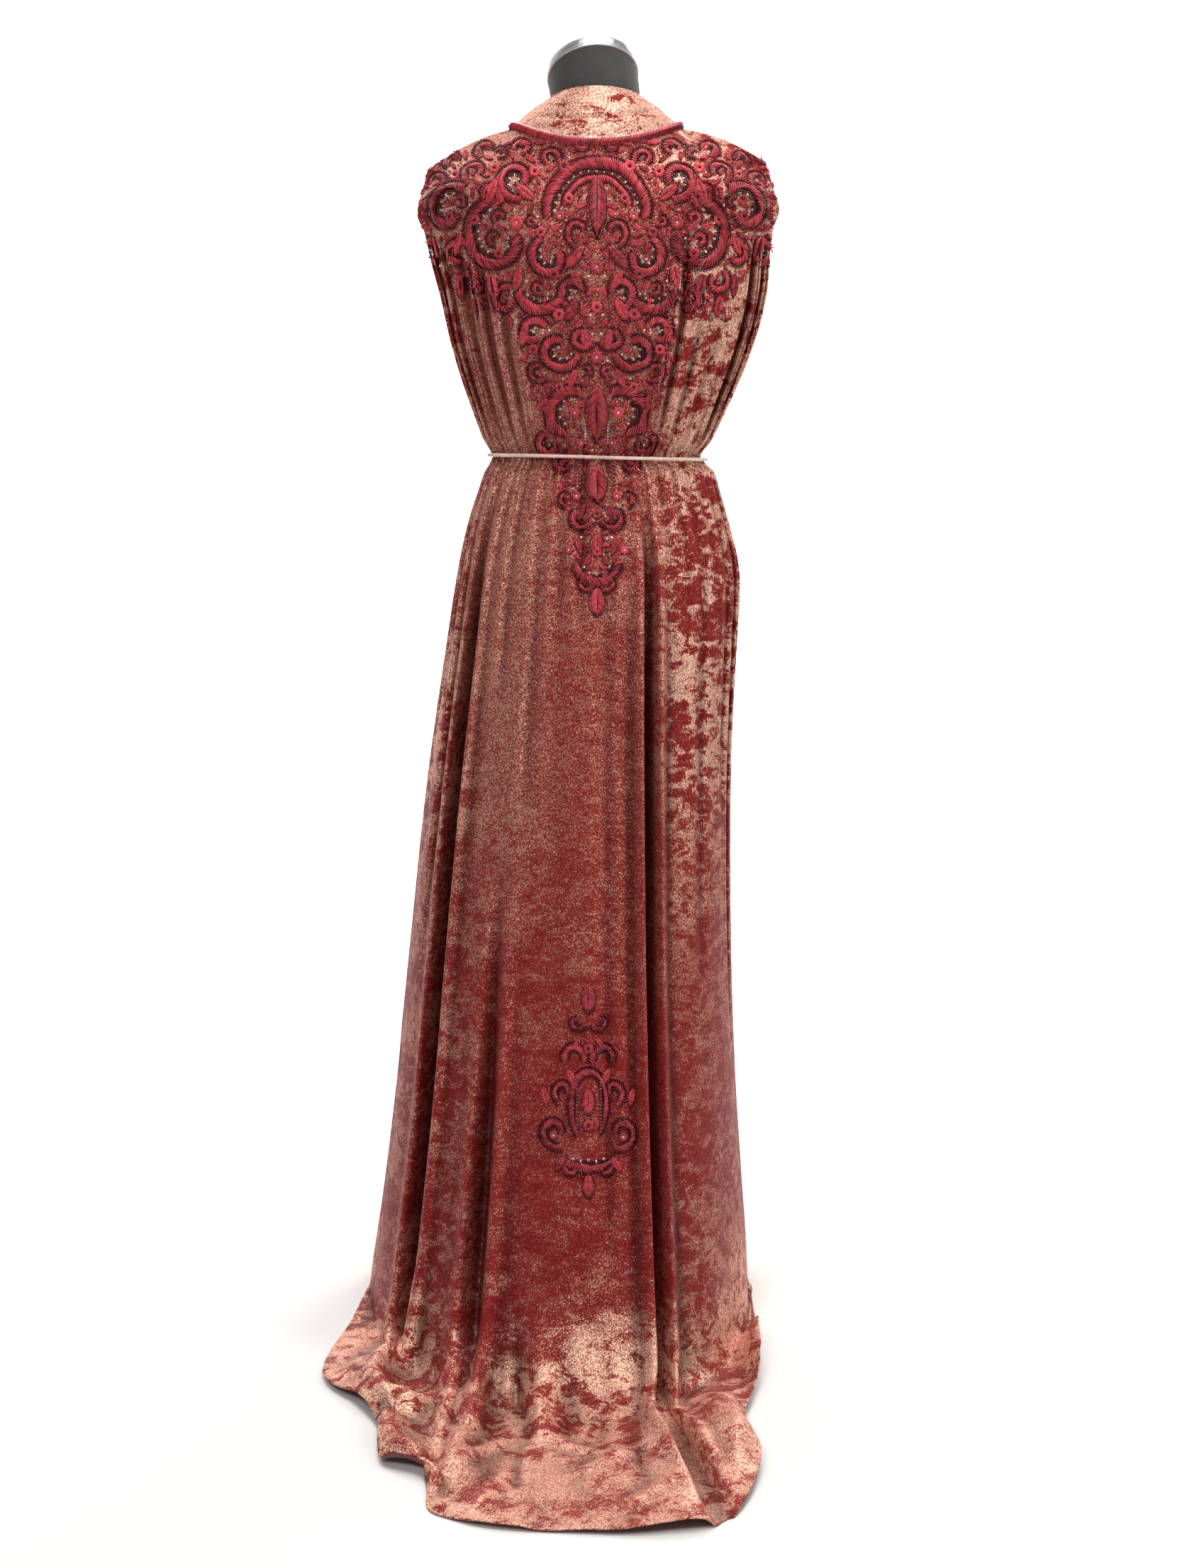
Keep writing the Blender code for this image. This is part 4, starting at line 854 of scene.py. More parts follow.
groups = {"glitter": glitterGroup(), "patches": patchGroup()}
finishes = {
    "velvet": velvetMaterial("crushedVelvet", velvetLook["level"], 0.0),
    "band": velvetMaterial("crushedVelvetPale", velvetLook["level"] - 0.050, 0.85),
    "backing": plainCloth("velvetWrongSide", (0.20, 0.020, 0.022), 0.8, 1400.0),
    "jersey": plainCloth("formJersey", (0.045, 0.042, 0.045), 0.85, 1100.0),
    "cord": plainCloth("beltSatin", (0.80, 0.60, 0.49), 0.55, 1500.0),
    "chrome": metalMaterial("capChrome", (0.66, 0.67, 0.69), 0.34, 0.04),
    "steel": metalMaterial("standSteel", (0.56, 0.56, 0.57), 0.30, 0.10),
    "bugle": beadMaterial("crimsonBugles", (0.062, 0.002, 0.006), (0.70, 0.066, 0.092), 0.20, 0.30),
    "satin": beadMaterial("crimsonPadding", (0.030, 0.001, 0.003), (0.075, 0.003, 0.007), 0.70, 0.0),
    "maroon": beadMaterial("maroonGlass", (0.008, 0.0002, 0.0006), (0.080, 0.002, 0.005), 0.14, 0.30),
    "pearl": beadMaterial("maroonPearls", (0.10, 0.012, 0.020), (0.34, 0.06, 0.08), 0.20, 0.8, 0.35),
    "sequin": beadMaterial("roseSequins", (0.34, 0.08, 0.09), (0.80, 0.42, 0.38), 0.16, 0.8, 0.8),
    "crystal": beadMaterial("clearStones", (0.66, 0.48, 0.50), (0.99, 0.95, 0.95), 0.06, 1.0, 0.15),
    "stone": beadMaterial("redStones", (0.22, 0.001, 0.006), (0.60, 0.015, 0.030), 0.05, 1.0),
}
print("materials: ready")

formFace = formRings()
formTree = gridTree(np.array(formFace), closed=True)
handOver(ringsPiece("formJersey", formFace, finishes["jersey"]), "jersey", "form_torso")
# the cap's outline: how far in from its edge and how high, up its side and over its top, in millimetres
capOutline = (
    (1.2, 0.3), (0.0, 1.2), (0.0, 2.6), (0.5, 3.1), (0.5, 3.6), (0.0, 4.1), (0.0, 11.8), (0.4, 13.4),
    (1.3, 14.8), (2.6, 15.7), (4.2, 16.0), (12.0, 16.0), (12.8, 15.1), (30.0, 15.1),
)
capRings = [slantedRing(form["neckRadius"] + form["capLip"] - inward / 1000, high / 1000, form["capSides"])
            for inward, high in capOutline]
handOver(ringsPiece("neckCapChrome", capRings, finishes["chrome"]), "chrome", "form_neck_cap")
for node in ("stand_pole", "stand_collar", "stand_base"):
    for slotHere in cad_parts[node].material_slots:
        slotHere.material = finishes["steel"]
print("dress form and stand: ready")


def closerColumns(count, places):
    # columns over a panel, closer together about its sharp folds
    fine = np.linspace(-1.0, 1.0, 4001)
    density = 1.0 + sum(strength * np.exp(-(((fine - place) / 0.045) ** 2)) for place, strength in places)
    total = np.concatenate([[0.0], np.cumsum((density[1:] + density[:-1]) / 2)])
    return np.interp(np.linspace(0.0, total[-1], count), total, fine)


backAcross = closerColumns(kaftan["backColumns"], ((backSlit.across, 2.0), (-0.620, 1.0), (-0.350, 1.2)))
frontAcross = np.linspace(-1.0, 1.0, kaftan["frontColumns"])
backGrid, backOut, backDrop = panelSurface(
    -1, backAcross, kaftan["backRows"], (backPleats, backFinePleats), (11, 38), formTree)
frontGrid, frontOut, _ = panelSurface(
    1, frontAcross, kaftan["frontRows"], (frontPleats, frontFinePleats), (12, 30), formTree)
velvetPair = [finishes["velvet"], finishes["backing"]]


def sheetPieces(label, grid, outward, side):
    waist = kaftan[f"{label}Rows"][0] - 1
    skirt = grid[waist:].copy()
    skirt[0] += 0.0003 * unit(skirt[1] - skirt[0])  # a gap under the cord between bodice and skirt
    shadow = -1.0
    if side < 0:  # a painted shadow keeps the slit dark where it runs on over the floor
        slit = np.exp(-(((backAcross - backSlit.across) / 0.024) ** 4))
        shadow = 2.0 * slit * floorLie(backDrop[waist:]) - 1.0
    cloth = kaftan["cloth"]
    bodice = shellPiece(f"{label}BodiceVelvet", grid[: waist + 1], outward[: waist + 1], side, cloth, velvetPair)
    skirt = shellPiece(f"{label}SkirtVelvet", skirt, outward[waist:], side, cloth, velvetPair, shadow)
    gores = [f"{label}_skirt_{part}" for part in ("left", "centre", "right")]
    return handOver(bodice, "velvet", f"{label}_bodice"), handOver(skirt, "velvet", *gores)


backBodice, backSkirt = sheetPieces("back", backGrid, backOut, -1)
frontBodice, frontSkirt = sheetPieces("front", frontGrid, frontOut, 1)
print("velvet panels: ready")


def evenly(line, pitch, closed=False):
    # points every pitch along a line, with the direction of the line at each
    line = np.asarray(line, float)
    if closed:
        line = np.concatenate([line, line[:1]])
    along = distances(line)
    count = max(2, int(round(along[-1] / pitch)))
    places = columnsAt(np.linspace(0.0, along[-1], count + 1)[: count + (not closed)], along, line)
    if closed:
        run = np.roll(places, -1, axis=0) - np.roll(places, 1, axis=0)
    else:
        run = np.gradient(places, axis=0)
    return places, unit(run)


NeckEntry = namedtuple("NeckEntry", "side across place outward up")


def neckLoop():
    # the neck seam all round, from the panels' top rows
    loop = []
    for side, grid, outward, columns in ((-1, backGrid, backOut, backAcross), (1, frontGrid, frontOut, frontAcross)):
        half = [i for i, across in enumerate(columns) if abs(across) <= kaftan["neckShare"] + 1e-9]
        for i in half if side < 0 else half[-2:0:-1]:
            loop.append(NeckEntry(side, columns[i], grid[0, i], outward[1, i], unit(grid[0, i] - grid[3, i])))
    return loop


def evenDirections(directions, times):
    for _ in range(times):
        directions = unit(directions + 0.5 * (np.roll(directions, 1, axis=0) + np.roll(directions, -1, axis=0)))
    return directions


neckband = {
    "rows": 29, "belly": 0.002, "thickness": 0.0016, "height": 0.055,
    "foldDepth": 0.0022, "foldWidth": 0.0035, "foldShare": 0.42, "foldRise": 0.16,
}


def addNeckband(loop):
    # a soft band round the neck with one curved crease at the back
    across = np.array([entry.across for entry in loop])
    behind = np.array([entry.side < 0 for entry in loop])
    foot = np.array([entry.place + entry.up * 0.0006 for entry in loop])
    top = np.array([neckPoint(bandTop, entry.across, entry.side) for entry in loop])
    outward = evenDirections(np.array([entry.outward for entry in loop]), 12)
    along = distances(foot)
    rows = []
    for share in np.linspace(1.0, 0.0, neckband["rows"]):
        offset = (share - neckband["foldShare"] - neckband["foldRise"] * across) * neckband["height"]
        crease = np.exp(-((offset / neckband["foldWidth"]) ** 2)) * smooth(1.3 - abs(across) / 0.30) * behind
        crease *= neckband["foldDepth"]
        soft = 0.0008 * softNoise(along + 2.0, np.full(len(along), share * 0.06), 0.03, 0.02, 41) * sin(pi * share)
        swell = neckband["belly"] * sin(pi * share) - crease + soft
        rows.append(foot + (top - foot) * share + outward * swell[:, None])
    grid = np.array(rows)
    directions = np.broadcast_to(outward, grid.shape).copy()
    liftClear(formTree, grid, directions)
    count, wide = grid.shape[:2]
    inner = grid - directions * neckband["thickness"]
    size, last = count * wide, (count - 1) * wide
    faces = quads(count, wide, 0, outerTurn) + quads(count, wide, size)
    kinds = [0] * (len(faces) // 2) + [1] * (len(faces) // 2) + [0] * 2 * wide
    for a in range(wide):
        b = (a + 1) % wide
        faces += [(a, b, size + b, size + a), (b + last, a + last, size + a + last, size + b + last)]
    points = np.concatenate([grid.reshape(-1, 3), inner.reshape(-1, 3)])
    piece = meshPiece("neckbandVelvet", points, faces, [finishes["band"], finishes["backing"]], kinds)
    return handOver(piece, "velvet", "neckband")


# Beads: every kind keeps its list of places, outward and along directions, sizes and tones
Bead = namedtuple("Bead", "place outward along size tone")
beadKinds = {}
picks = np.random.default_rng(2024)


def lay(kind, region, *bead):
    beadKinds.setdefault((kind, region), []).append(Bead(*bead))


def beadTree(kind, shape):
    # one bead shape, set on every point: Z follows the point's outward direction and X its along direction
    tree = bpy.data.node_groups.new(f"{kind}OnPoints", "GeometryNodeTree")
    ends = (("Points", "INPUT", "Geometry"), ("Finish", "INPUT", "Material"), ("Beads", "OUTPUT", "Geometry"))
    for label, way, data in ends:
        tree.interface.new_socket(label, in_out=way, socket_type=f"NodeSocket{data}")
    given, result = tree.nodes.new("NodeGroupInput").outputs, tree.nodes.new("NodeGroupOutput").inputs
    n = Wiring(tree)
    outward, along, size = (n.add("GeometryNodeInputNamedAttribute", {"Name": name}, data_type="FLOAT_VECTOR")
                            for name in ("outward", "along", "size"))
    turned = n.add("FunctionNodeAlignRotationToVector", {"Vector": outward}, axis="Z")
    turned = n.add("FunctionNodeAlignRotationToVector", {"Rotation": turned, "Vector": along}, axis="X", pivot_axis="Z")
    beads = n.add("GeometryNodeInstanceOnPoints", {"Points": given["Points"], "Instance": shape(n),
                                                   "Rotation": turned, "Scale": size})
    beads = n.add("GeometryNodeRealizeInstances", {"Geometry": beads})
    n.put(result, {"Beads": n.add("GeometryNodeSetMaterial", {"Geometry": beads, "Material": given["Finish"]})})
    return tree


def shaded(n, mesh, smoothly=True):
    return n.add("GeometryNodeSetShadeSmooth", {"Geometry": mesh, "Shade Smooth": smoothly})


def moved(n, mesh, **change):
    return n.add("GeometryNodeTransform", {"Geometry": mesh, **change})


def ball(n, detail):
    return n.add("GeometryNodeMeshIcoSphere", {"Radius": 0.5, "Subdivisions": detail})


def strandShape(n):
    # a thread of bugle beads: an arched tube, thinner at its ends
    line = n.add("GeometryNodeCurvePrimitiveLine", {"Start": (-0.5, 0.0, 0.0), "End": (0.5, 0.0, 0.0)})
    line = n.add("GeometryNodeResampleCurve", {"Curve": line, "Count": 4})
    arch = n.maths("SINE", n.times(n.add("GeometryNodeSplineParameter"), pi))
    rise = n.add("ShaderNodeCombineXYZ", {"Z": n.times(arch, 0.62)})
    line = n.add("GeometryNodeSetPosition", {"Geometry": line, "Offset": rise})
    profile = n.add("GeometryNodeCurvePrimitiveCircle", {"Resolution": 5, "Radius": 0.40})
    thick = n.timesPlus(arch, 0.55, 0.50)
    tube = n.add("GeometryNodeCurveToMesh", {"Curve": line, "Profile Curve": profile, "Scale": thick, "Fill Caps": True})
    return shaded(n, moved(n, tube, Scale=(1.0, 1.25, 1.0)))


def seedShape(n):
    return shaded(n, moved(n, ball(n, 1), Translation=(0.0, 0.0, 0.35)))


def pearlShape(n):
    return shaded(n, moved(n, ball(n, 2), Translation=(0.0, 0.0, 0.40)))


def stoneShape(n):
    # a faceted stone: a low cone on a girdle
    crown = {"Vertices": 8, "Side Segments": 1, "Radius Top": 0.26, "Radius Bottom": 0.5, "Depth": 0.42}
    return shaded(n, n.add("GeometryNodeMeshCone", crown), False)


def dropShape(n):
    # a cabochon drawn out to a point at one end
    parts = n.add("ShaderNodeSeparateXYZ", {"Vector": n.add("GeometryNodeInputPosition")}, None)
    narrow = n.times(parts["Y"], n.timesPlus(parts["X"], -0.85, 0.72))
    place = n.add("ShaderNodeCombineXYZ", {"X": parts["X"], "Y": narrow, "Z": n.timesPlus(parts["Z"], 0.8, 0.25)})
    return shaded(n, n.add("GeometryNodeSetPosition", {"Geometry": ball(n, 2), "Position": place}))


def sequinShape(n):
    disc = n.add("GeometryNodeMeshCylinder", {"Vertices": 8, "Radius": 0.5, "Depth": 0.14})
    return shaded(n, moved(n, disc, Translation=(0.0, 0.0, 0.20), Rotation=(0.0, 0.30, 0.0)), False)


beadShapes = {
    "bugle": (strandShape, "bugle"), "seed": (seedShape, "maroon"), "redSeed": (seedShape, "bugle"),
    "pearl": (pearlShape, "pearl"), "crystal": (stoneShape, "crystal"), "stone": (dropShape, "stone"),
    "sequin": (sequinShape, "sequin"),
}


def bakeBeads():
    for kind, (shape, finish) in beadShapes.items():
        tree = beadTree(kind, shape)
        sockets = {item.name: item.identifier for item in tree.interface.items_tree if item.in_out == "INPUT"}
        for region in sorted({key[1] for key in beadKinds if key[0] == kind}):
            name = f"{kind}Beads{region}"
            beads = Bead(*zip(*beadKinds[(kind, region)]))
            mesh = bpy.data.meshes.new("beadPoints")
            mesh.from_pydata(list(map(tuple, beads.place)), [], [])
            addAttributes(mesh, {label: getattr(beads, label) for label in ("outward", "along", "size", "tone")})
            holder = addObject("beadPoints", mesh)
            modifier = holder.modifiers.new("beads", "NODES")
            modifier.node_group = tree
            modifier[sockets["Finish"]] = finishes[finish]
            graph = bpy.context.evaluated_depsgraph_get()
            baked = bpy.data.meshes.new_from_object(holder.evaluated_get(graph), depsgraph=graph)
            bpy.data.objects.remove(holder)
            for label in {"outward", "along", "size"} & set(baked.attributes.keys()):
                baked.attributes.remove(baked.attributes[label])
            baked.name = name
            if not baked.materials:
                baked.materials.append(finishes[finish])
            handOver(addObject(name, baked), "beadwork")


def squared(along, away):
    # two directions square to a line, the first as near as it can be to the one given
    away = away - along * (away @ along)
    away = away / np.linalg.norm(away)
    return away, np.cross(along, away)


def ringsRound(line, run, towards, radius, sides, flat=1.0):
    # the points of a tube round a closed line; flat squeezes it toward the cloth
    points = []
    for place, along, away in zip(line, run, towards):
        away, other = squared(along, away)
        for angle in np.arange(sides) * 2 * pi / sides:
            points.append(place + radius * (flat * cos(angle) * away + sin(angle) * other))
    return points


def turning(rows):
    return unit(np.roll(rows, -1, axis=0) - np.roll(rows, 1, axis=0))


neckRope = {"radius": 0.0036, "gap": 0.0004, "rise": 0.0010, "pitch": 0.0023, "strandLength": 0.0092, "slant": 0.66,
            "stonePitch": 0.0030, "stoneSize": 0.0023, "stoneRise": 0.0016, "coreSides": 10}


def addNeckRope(loop):
    # bugle strands wound round a padded core, and a string of small stones along its upper edge
    outward = evenDirections(np.array([entry.outward for entry in loop]), 12)
    up = evenDirections(np.array([entry.up for entry in loop]), 6)
    radius, slant = neckRope["radius"], neckRope["slant"]
    standing = 0.75 - 0.75 * smooth((np.array([abs(entry.across) for entry in loop]) - 0.45) / 0.35)
    centres = np.array([entry.place for entry in loop]) + outward * (radius * standing + neckRope["gap"])[:, None]
    centres = centres + up * neckRope["rise"]
    count = len(centres)

    def alongLoop(line, pitch):
        places, run = evenly(line, pitch, closed=True)
        at = np.linspace(0, count, len(places), endpoint=False)
        return zip(places, run, columnsAt(at, np.arange(count + 1), np.concatenate([outward, outward[:1]])))

    for place, run, face in alongLoop(centres, neckRope["pitch"]):
        along = np.cross(face, run) * cos(slant) + run * sin(slant)
        lay("bugle", "Neck", place + face * 0.0002 - face * radius * 0.55, face, along,
            (neckRope["strandLength"], 0.0023, radius * 1.35), picks.uniform(0.2, 1.0))
    edge = centres + up * (radius + neckRope["stoneRise"]) + outward * 0.0002
    for place, run, face in alongLoop(edge, neckRope["stonePitch"]):
        lay("crystal", "Neck", place - face * 0.0006, face, run, (neckRope["stoneSize"],) * 3, picks.uniform(0.0, 1.0))
    sides = neckRope["coreSides"]
    points = ringsRound(centres, turning(centres), outward, radius - 0.0006, sides, 0.62)
    core = meshPiece("neckRopeCore", points, quads(count, sides, ringed=True), [finishes["satin"]],
                     attributes={"tone": np.full(len(points), 0.4)})
    handOver(core, "beadwork", "neck_braid")


belt = {"radius": 0.0024, "clearance": 0.0004, "tilt": 0.003, "points": 240, "pitch": 0.0014,
        "strands": 3, "twist": 0.0085, "strandSides": 7, "strandShare": 0.56}


def addBelt(clothTree):
    # three twisted cream strands drawn tight round the gathers
    radius = belt["radius"]
    turns = np.arange(belt["points"]) * 2 * pi / belt["points"]
    heights = kaftan["beltHeight"] - belt["tilt"] * np.cos(turns)
    reach = []
    for turn, height in zip(turns, heights):
        away = Vector((cos(turn), sin(turn), 0))
        hits = [clothTree.ray_cast(away + Vector((0, 0, height + rise)), -away)[0] for rise in (-radius, 0, radius)]
        reach.append(max([hit.xy.length for hit in hits if hit is not None], default=0.0))
    # the widest of each few places also bridges the side seams, where a ray can miss
    taut = np.max([np.roll(reach, shift) for shift in range(-7, 8)], axis=0)
    for _ in range(6):
        taut = (taut + 0.5 * (np.roll(taut, 1) + np.roll(taut, -1))) / 2
    taut += radius + belt["clearance"]
    centres = np.stack([taut * np.cos(turns), taut * np.sin(turns), heights], axis=1)
    places, run = evenly(centres, belt["pitch"], closed=True)
    count, middle = len(places), places.mean(axis=0)
    wound = round(belt["pitch"] * count / belt["twist"])
    sides, size = belt["strandSides"], radius * belt["strandShare"]
    points, faces = [], []
    for strand in range(belt["strands"]):
        line = []
        for i in range(count):
            away, other = squared(run[i], places[i] - middle)
            angle = 2 * pi * (wound * i / count + strand / belt["strands"])
            line.append(places[i] + (radius - size) * (cos(angle) * away + sin(angle) * other))
        line = np.array(line)
        faces += quads(count, sides, len(points), ringed=True)
        points += ringsRound(line, turning(line), line - middle, size, sides)
    handOver(meshPiece("beltCord", points, faces, [finishes["cord"]]), "cord", "belt_cord")


# Embroidery on a flat chart: x from the middle and height, both as seen from behind. What stands to the right of the
# middle is worked on both sides. The first thirteen ropes are the model's own, the rest only the looks have.
Rope = namedtuple("Rope", "x z radius endRadius width angle endAngle stretch", defaults=(1.0,))
ropes = table(Rope, (
    (0, 1398, 60, 60, 13, -8, 188, 0.98), (98, 1436, 24, 10, 11, -100, 200), (116, 1366, 50, 16, 14, 80, -190),
    (182, 1404, 30, 12, 12, 130, -150), (56, 1342, 26, 10, 11, 60, -210), (66, 1304, 30, 24, 13, -5, -170, 0.9),
    (47, 1232, 26, 10, 11, 200, 470), (34, 1150, 31, 18, 14, 118, -75, 1.1), (0, 972, 26, 26, 11, 185, 355),
    (-10, 322, 21, 21, 8, -50, 230, 1.9), (40, 290, 18, 8, 9, -110, 170), (18, 376, 14, 11, 8, 190, -20),
    (-10, 268, 34, 34, 10, 205, 335, 0.5), (0, 1398, 40, 40, 7, 10, 170), (150, 1448, 16, 6, 8, -60, 210),
    (202, 1442, 13, 6, 7, 240, -10), (172, 1350, 18, 7, 9, 150, -140), (22, 1372, 16, 6, 7, -70, 170, 1.1),
    (112, 1292, 17, 7, 9, 110, -170), (58, 1462, 13, 5, 7, 200, -50), (148, 1316, 15, 6, 8, 60, -220),
    (72, 1206, 13, 5, 7, 230, 500), (40, 1092, 14, 5, 7, 100, -160), (20, 1026, 15, 6, 8, 200, 460),
    (14, 946, 10, 4, 6, 190, 440), (20, 252, 11, 4, 6, 60, -190), (14, 418, 9, 4, 6, 200, 440),
    (27, 1300, 19, 8, 10, -80, 190, 1.1), (78, 1252, 17, 7, 10, 150, -120), (18, 1246, 14, 6, 9, 200, 460),
    (206, 1352, 17, 7, 10, 100, -170), (132, 1418, 15, 6, 9, 240, -20), (58, 1116, 15, 6, 9, 60, -200),
    (30, 336, 12, 5, 7, -60, 200, 1.2),
), 5)
Leaf = namedtuple("Leaf", "x z length width angle")
leaves = table(Leaf, (
    (0, 1434, 72, 22, -90), (0, 1182, 66, 26, -90), (0, 1084, 42, 24, -90), (0, 938, 34, 18, -90),
    (-10, 462, 34, 16, -90), (-10, 243, 26, 13, -90), (18, 1352, 34, 13, -50), (30, 1324, 26, 11, -120),
    (78, 1412, 30, 12, 40), (132, 1412, 30, 12, 110), (168, 1372, 28, 11, -70), (205, 1372, 34, 12, -100),
    (94, 1330, 30, 12, -80), (130, 1322, 30, 12, -100), (172, 1322, 28, 10, -95), (152, 1296, 26, 10, -100),
    (24, 1290, 30, 13, -60), (86, 1262, 30, 12, -75), (16, 1254, 26, 11, -100), (26, 1206, 24, 10, -70),
    (66, 1180, 30, 11, -100), (58, 1150, 24, 9, -90), (14, 1040, 22, 10, -60), (26, 1000, 24, 9, -110),
    (0, 1006, 26, 13, -90), (12, 960, 18, 7, -110), (16, 346, 22, 9, 60), (-10, 340, 30, 14, -90),
    (50, 322, 22, 9, 75), (30, 262, 20, 8, -60), (10, 400, 18, 7, -60),
), 4)
Flower = namedtuple("Flower", "x z radius petals")
flowers = table(Flower, (
    (40, 1452, 9.5, 6), (76, 1446, 8.6, 6), (126, 1452, 8.6, 6), (176, 1446, 8.6, 6), (98, 1384, 10.3, 7),
    (150, 1390, 8.6, 6), (34, 1412, 7.7, 6), (182, 1396, 7.7, 6), (68, 1372, 7.7, 6), (52, 1322, 8.6, 6),
    (120, 1348, 7.7, 6), (0, 1330, 10.3, 7), (46, 1274, 9.5, 6), (0, 1282, 8.6, 6), (78, 1232, 7.7, 6),
    (0, 1222, 9.5, 7), (46, 1186, 6.9, 6), (20, 1118, 6, 5), (0, 1030, 6.9, 6), (34, 986, 6, 5),
    (0, 984, 6.9, 6), (-10, 388, 6.9, 6), (-10, 300, 7.7, 6), (42, 286, 6, 5),
), 3)
# half width of the worked cloth by height, in millimetres
coverage = np.array((
    (900, 0), (905, 4), (930, 12), (960, 30), (1000, 32), (1030, 40), (1060, 45), (1100, 65), (1150, 75), (1190, 88),
    (1220, 95), (1260, 100), (1270, 125), (1300, 158), (1330, 192), (1360, 214), (1400, 224), (1440, 226), (1520, 226),
)) / 1000
beading = {
    "ropePitch": 0.0025, "ropeSlant": 0.62, "ropeRise": 0.32, "strandWidth": 0.0021,
    # how far off the rope's edge, pitch and size
    "darkRow": (0.0013, 0.0028, 0.0029), "redRow": (0.0037, 0.0027, 0.0024), "innerRow": (0.0042, 0.0027, 0.0026),
    "stonePitch": 0.0095, "stoneSize": 0.0040,
    "leafPitch": 0.0022, "leafSlant": 0.72, "leafOutline": (0.0028, 0.0019), "padRise": 0.24, "dangleStep": 0.0034,
    "motifHeight": 0.55, "motifX": -0.010,
}
worked = {"count": 0, "spots": np.zeros((60000, 3))}  # x, z and radius of what is already worked
pads = {}
ways = (1.0, -1.0)


def markWorked(x, z, radius):
    worked["spots"][worked["count"]] = x, z, radius
    worked["count"] += 1


def seat(x, z):
    hit, normal, _, _ = clothTree.ray_cast(Vector((x, -2.0, z)), Vector((0, 1, 0)))
    return None if hit is None else (np.array(hit), np.array(normal))


def regionOf(x, z):
    if z < beading["motifHeight"]:
        return "Hem"
    if z < 1.27:
        return "Column"
    return "Right" if x > 0 else "Left"


def layFlat(kind, x, z, direction, size, tone, lift=0.0):
    # one bead on the chart: its direction is an angle seen from behind, its size one number or three
    found = seat(x, z)
    if found is None:
        return
    place, normal = found
    if normal[1] > -0.34:  # past the edge of the yoke the beads would stand out like thorns
        return
    along = np.array([cos(direction), 0.0, sin(direction)])
    along -= normal * (along @ normal)
    size = size if isinstance(size, tuple) else (size,) * 3
    lay(kind, regionOf(x, z), place + normal * lift, normal, along / max(np.linalg.norm(along), 1e-9), size, tone)


def addPad(stations, key):
    # a low domed strip of satin under the strands; stations give a middle, a direction across and a width
    outline = ((-0.5, 0.0), (-0.34, 0.75), (0.0, 1.0), (0.34, 0.75), (0.5, 0.0), (0.25, -0.18), (-0.25, -0.18))
    ringPoints = []
    for (x, z), (ax, az), width in stations:
        for share, high in outline:
            found = seat(x + ax * share * width, z + az * share * width)
            if found is None:
                return
            ringPoints.append(found[0] + found[1] * (0.0001 + high * width * beading["padRise"]))
    points, faces = pads.setdefault(key, ([], []))
    first, sides = len(points), len(outline)
    points.extend(ringPoints)
    faces.extend(quads(len(stations), sides, first))
    faces.append(tuple(range(first, first + sides))[::-1])
    faces.append(tuple(range(len(points) - sides, len(points))))


def outlineBeads(line, pitch, size, kind="seed", mark=None):
    places, run = evenly(line, pitch)
    for (x, z), (dx, dz) in zip(places, run):
        layFlat(kind, x, z, atan2(dz, dx), size, picks.uniform(0.0, 1.0))
        if mark:
            markWorked(x, z, mark)


def layRope(rope, way, shift=0.0):
    length = radians(abs(rope.endAngle - rope.angle)) * (rope.radius + rope.endRadius) / 2
    count = max(8, int(length / 0.002))
    middle, across = [], []
    for share in np.linspace(0.0, 1.0, count):
        angle = radians(rope.angle + (rope.endAngle - rope.angle) * share)
        reach = rope.radius + (rope.endRadius - rope.radius) * share
        side = np.array([cos(angle), rope.stretch * sin(angle)])
        reach *= 1.0 + 0.014 * sin(7.0 * share * pi + rope.x * 90.0)
        middle.append((np.array([rope.x, rope.z]) + reach * side) * (way, 1.0) + (shift, 0.0))
        across.append(side / np.linalg.norm(side) * (way, 1.0))
    middle, across = np.array(middle), np.array(across)
    taper = 0.55 + 0.45 * np.sin(pi * np.clip(np.linspace(0.06, 0.94, count), 0, 1)) ** 0.5
    width = rope.width * taper * (1.0 + 0.09 * np.sin(np.linspace(0.0, 17.0, count) + rope.z * 50.0))
    addPad([(middle[i], across[i], width[i] * 0.92) for i in range(0, count, 2)], regionOf(*middle[count // 2]))
    places, run = evenly(middle, beading["ropePitch"])
    at = np.linspace(0, count - 1, len(places))
    spread, wide = columnsAt(at, np.arange(count), across), np.interp(at, np.arange(count), width)
    base, slant = picks.uniform(0.25, 0.75), beading["ropeSlant"]
    for (x, z), out, step, w in zip(places, spread, run, wide):
        slanted = out * cos(slant) + step * sin(slant)
        size = (w * picks.uniform(1.08, 1.24), beading["strandWidth"] * picks.uniform(0.85, 1.2),
                w * beading["ropeRise"] * picks.uniform(0.9, 1.12))
        direction = atan2(slanted[1], slanted[0]) + picks.uniform(-0.12, 0.12)
        layFlat("bugle", x, z, direction, size, base + picks.uniform(-0.3, 0.3), 0.0002)
        markWorked(x, z, w / 2)

    def beside(sign, row, trim, kind="seed"):
        off, pitch, size = beading[row]
        line = (middle + across * sign * (width / 2 + off)[:, None])[trim:count - trim]
        outlineBeads(line, pitch, size, kind)
        return line

    beside(-1, "darkRow", 0)
    beside(1, "darkRow", 0)
    if rope.width > 0.0062:  # a red row outside the dark outline
        for x, z in beside(1, "redRow", 2, "redSeed")[::3]:
            markWorked(x, z, 0.0015)
    if rope.width > 0.0095:  # a second row of dark beads inside the curve, with clear stones set along it
        line = beside(-1, "innerRow", 4)
        outlineBeads(line, beading["stonePitch"], beading["stoneSize"], "crystal")
        for x, z in line[::3]:
            markWorked(x, z, 0.002)


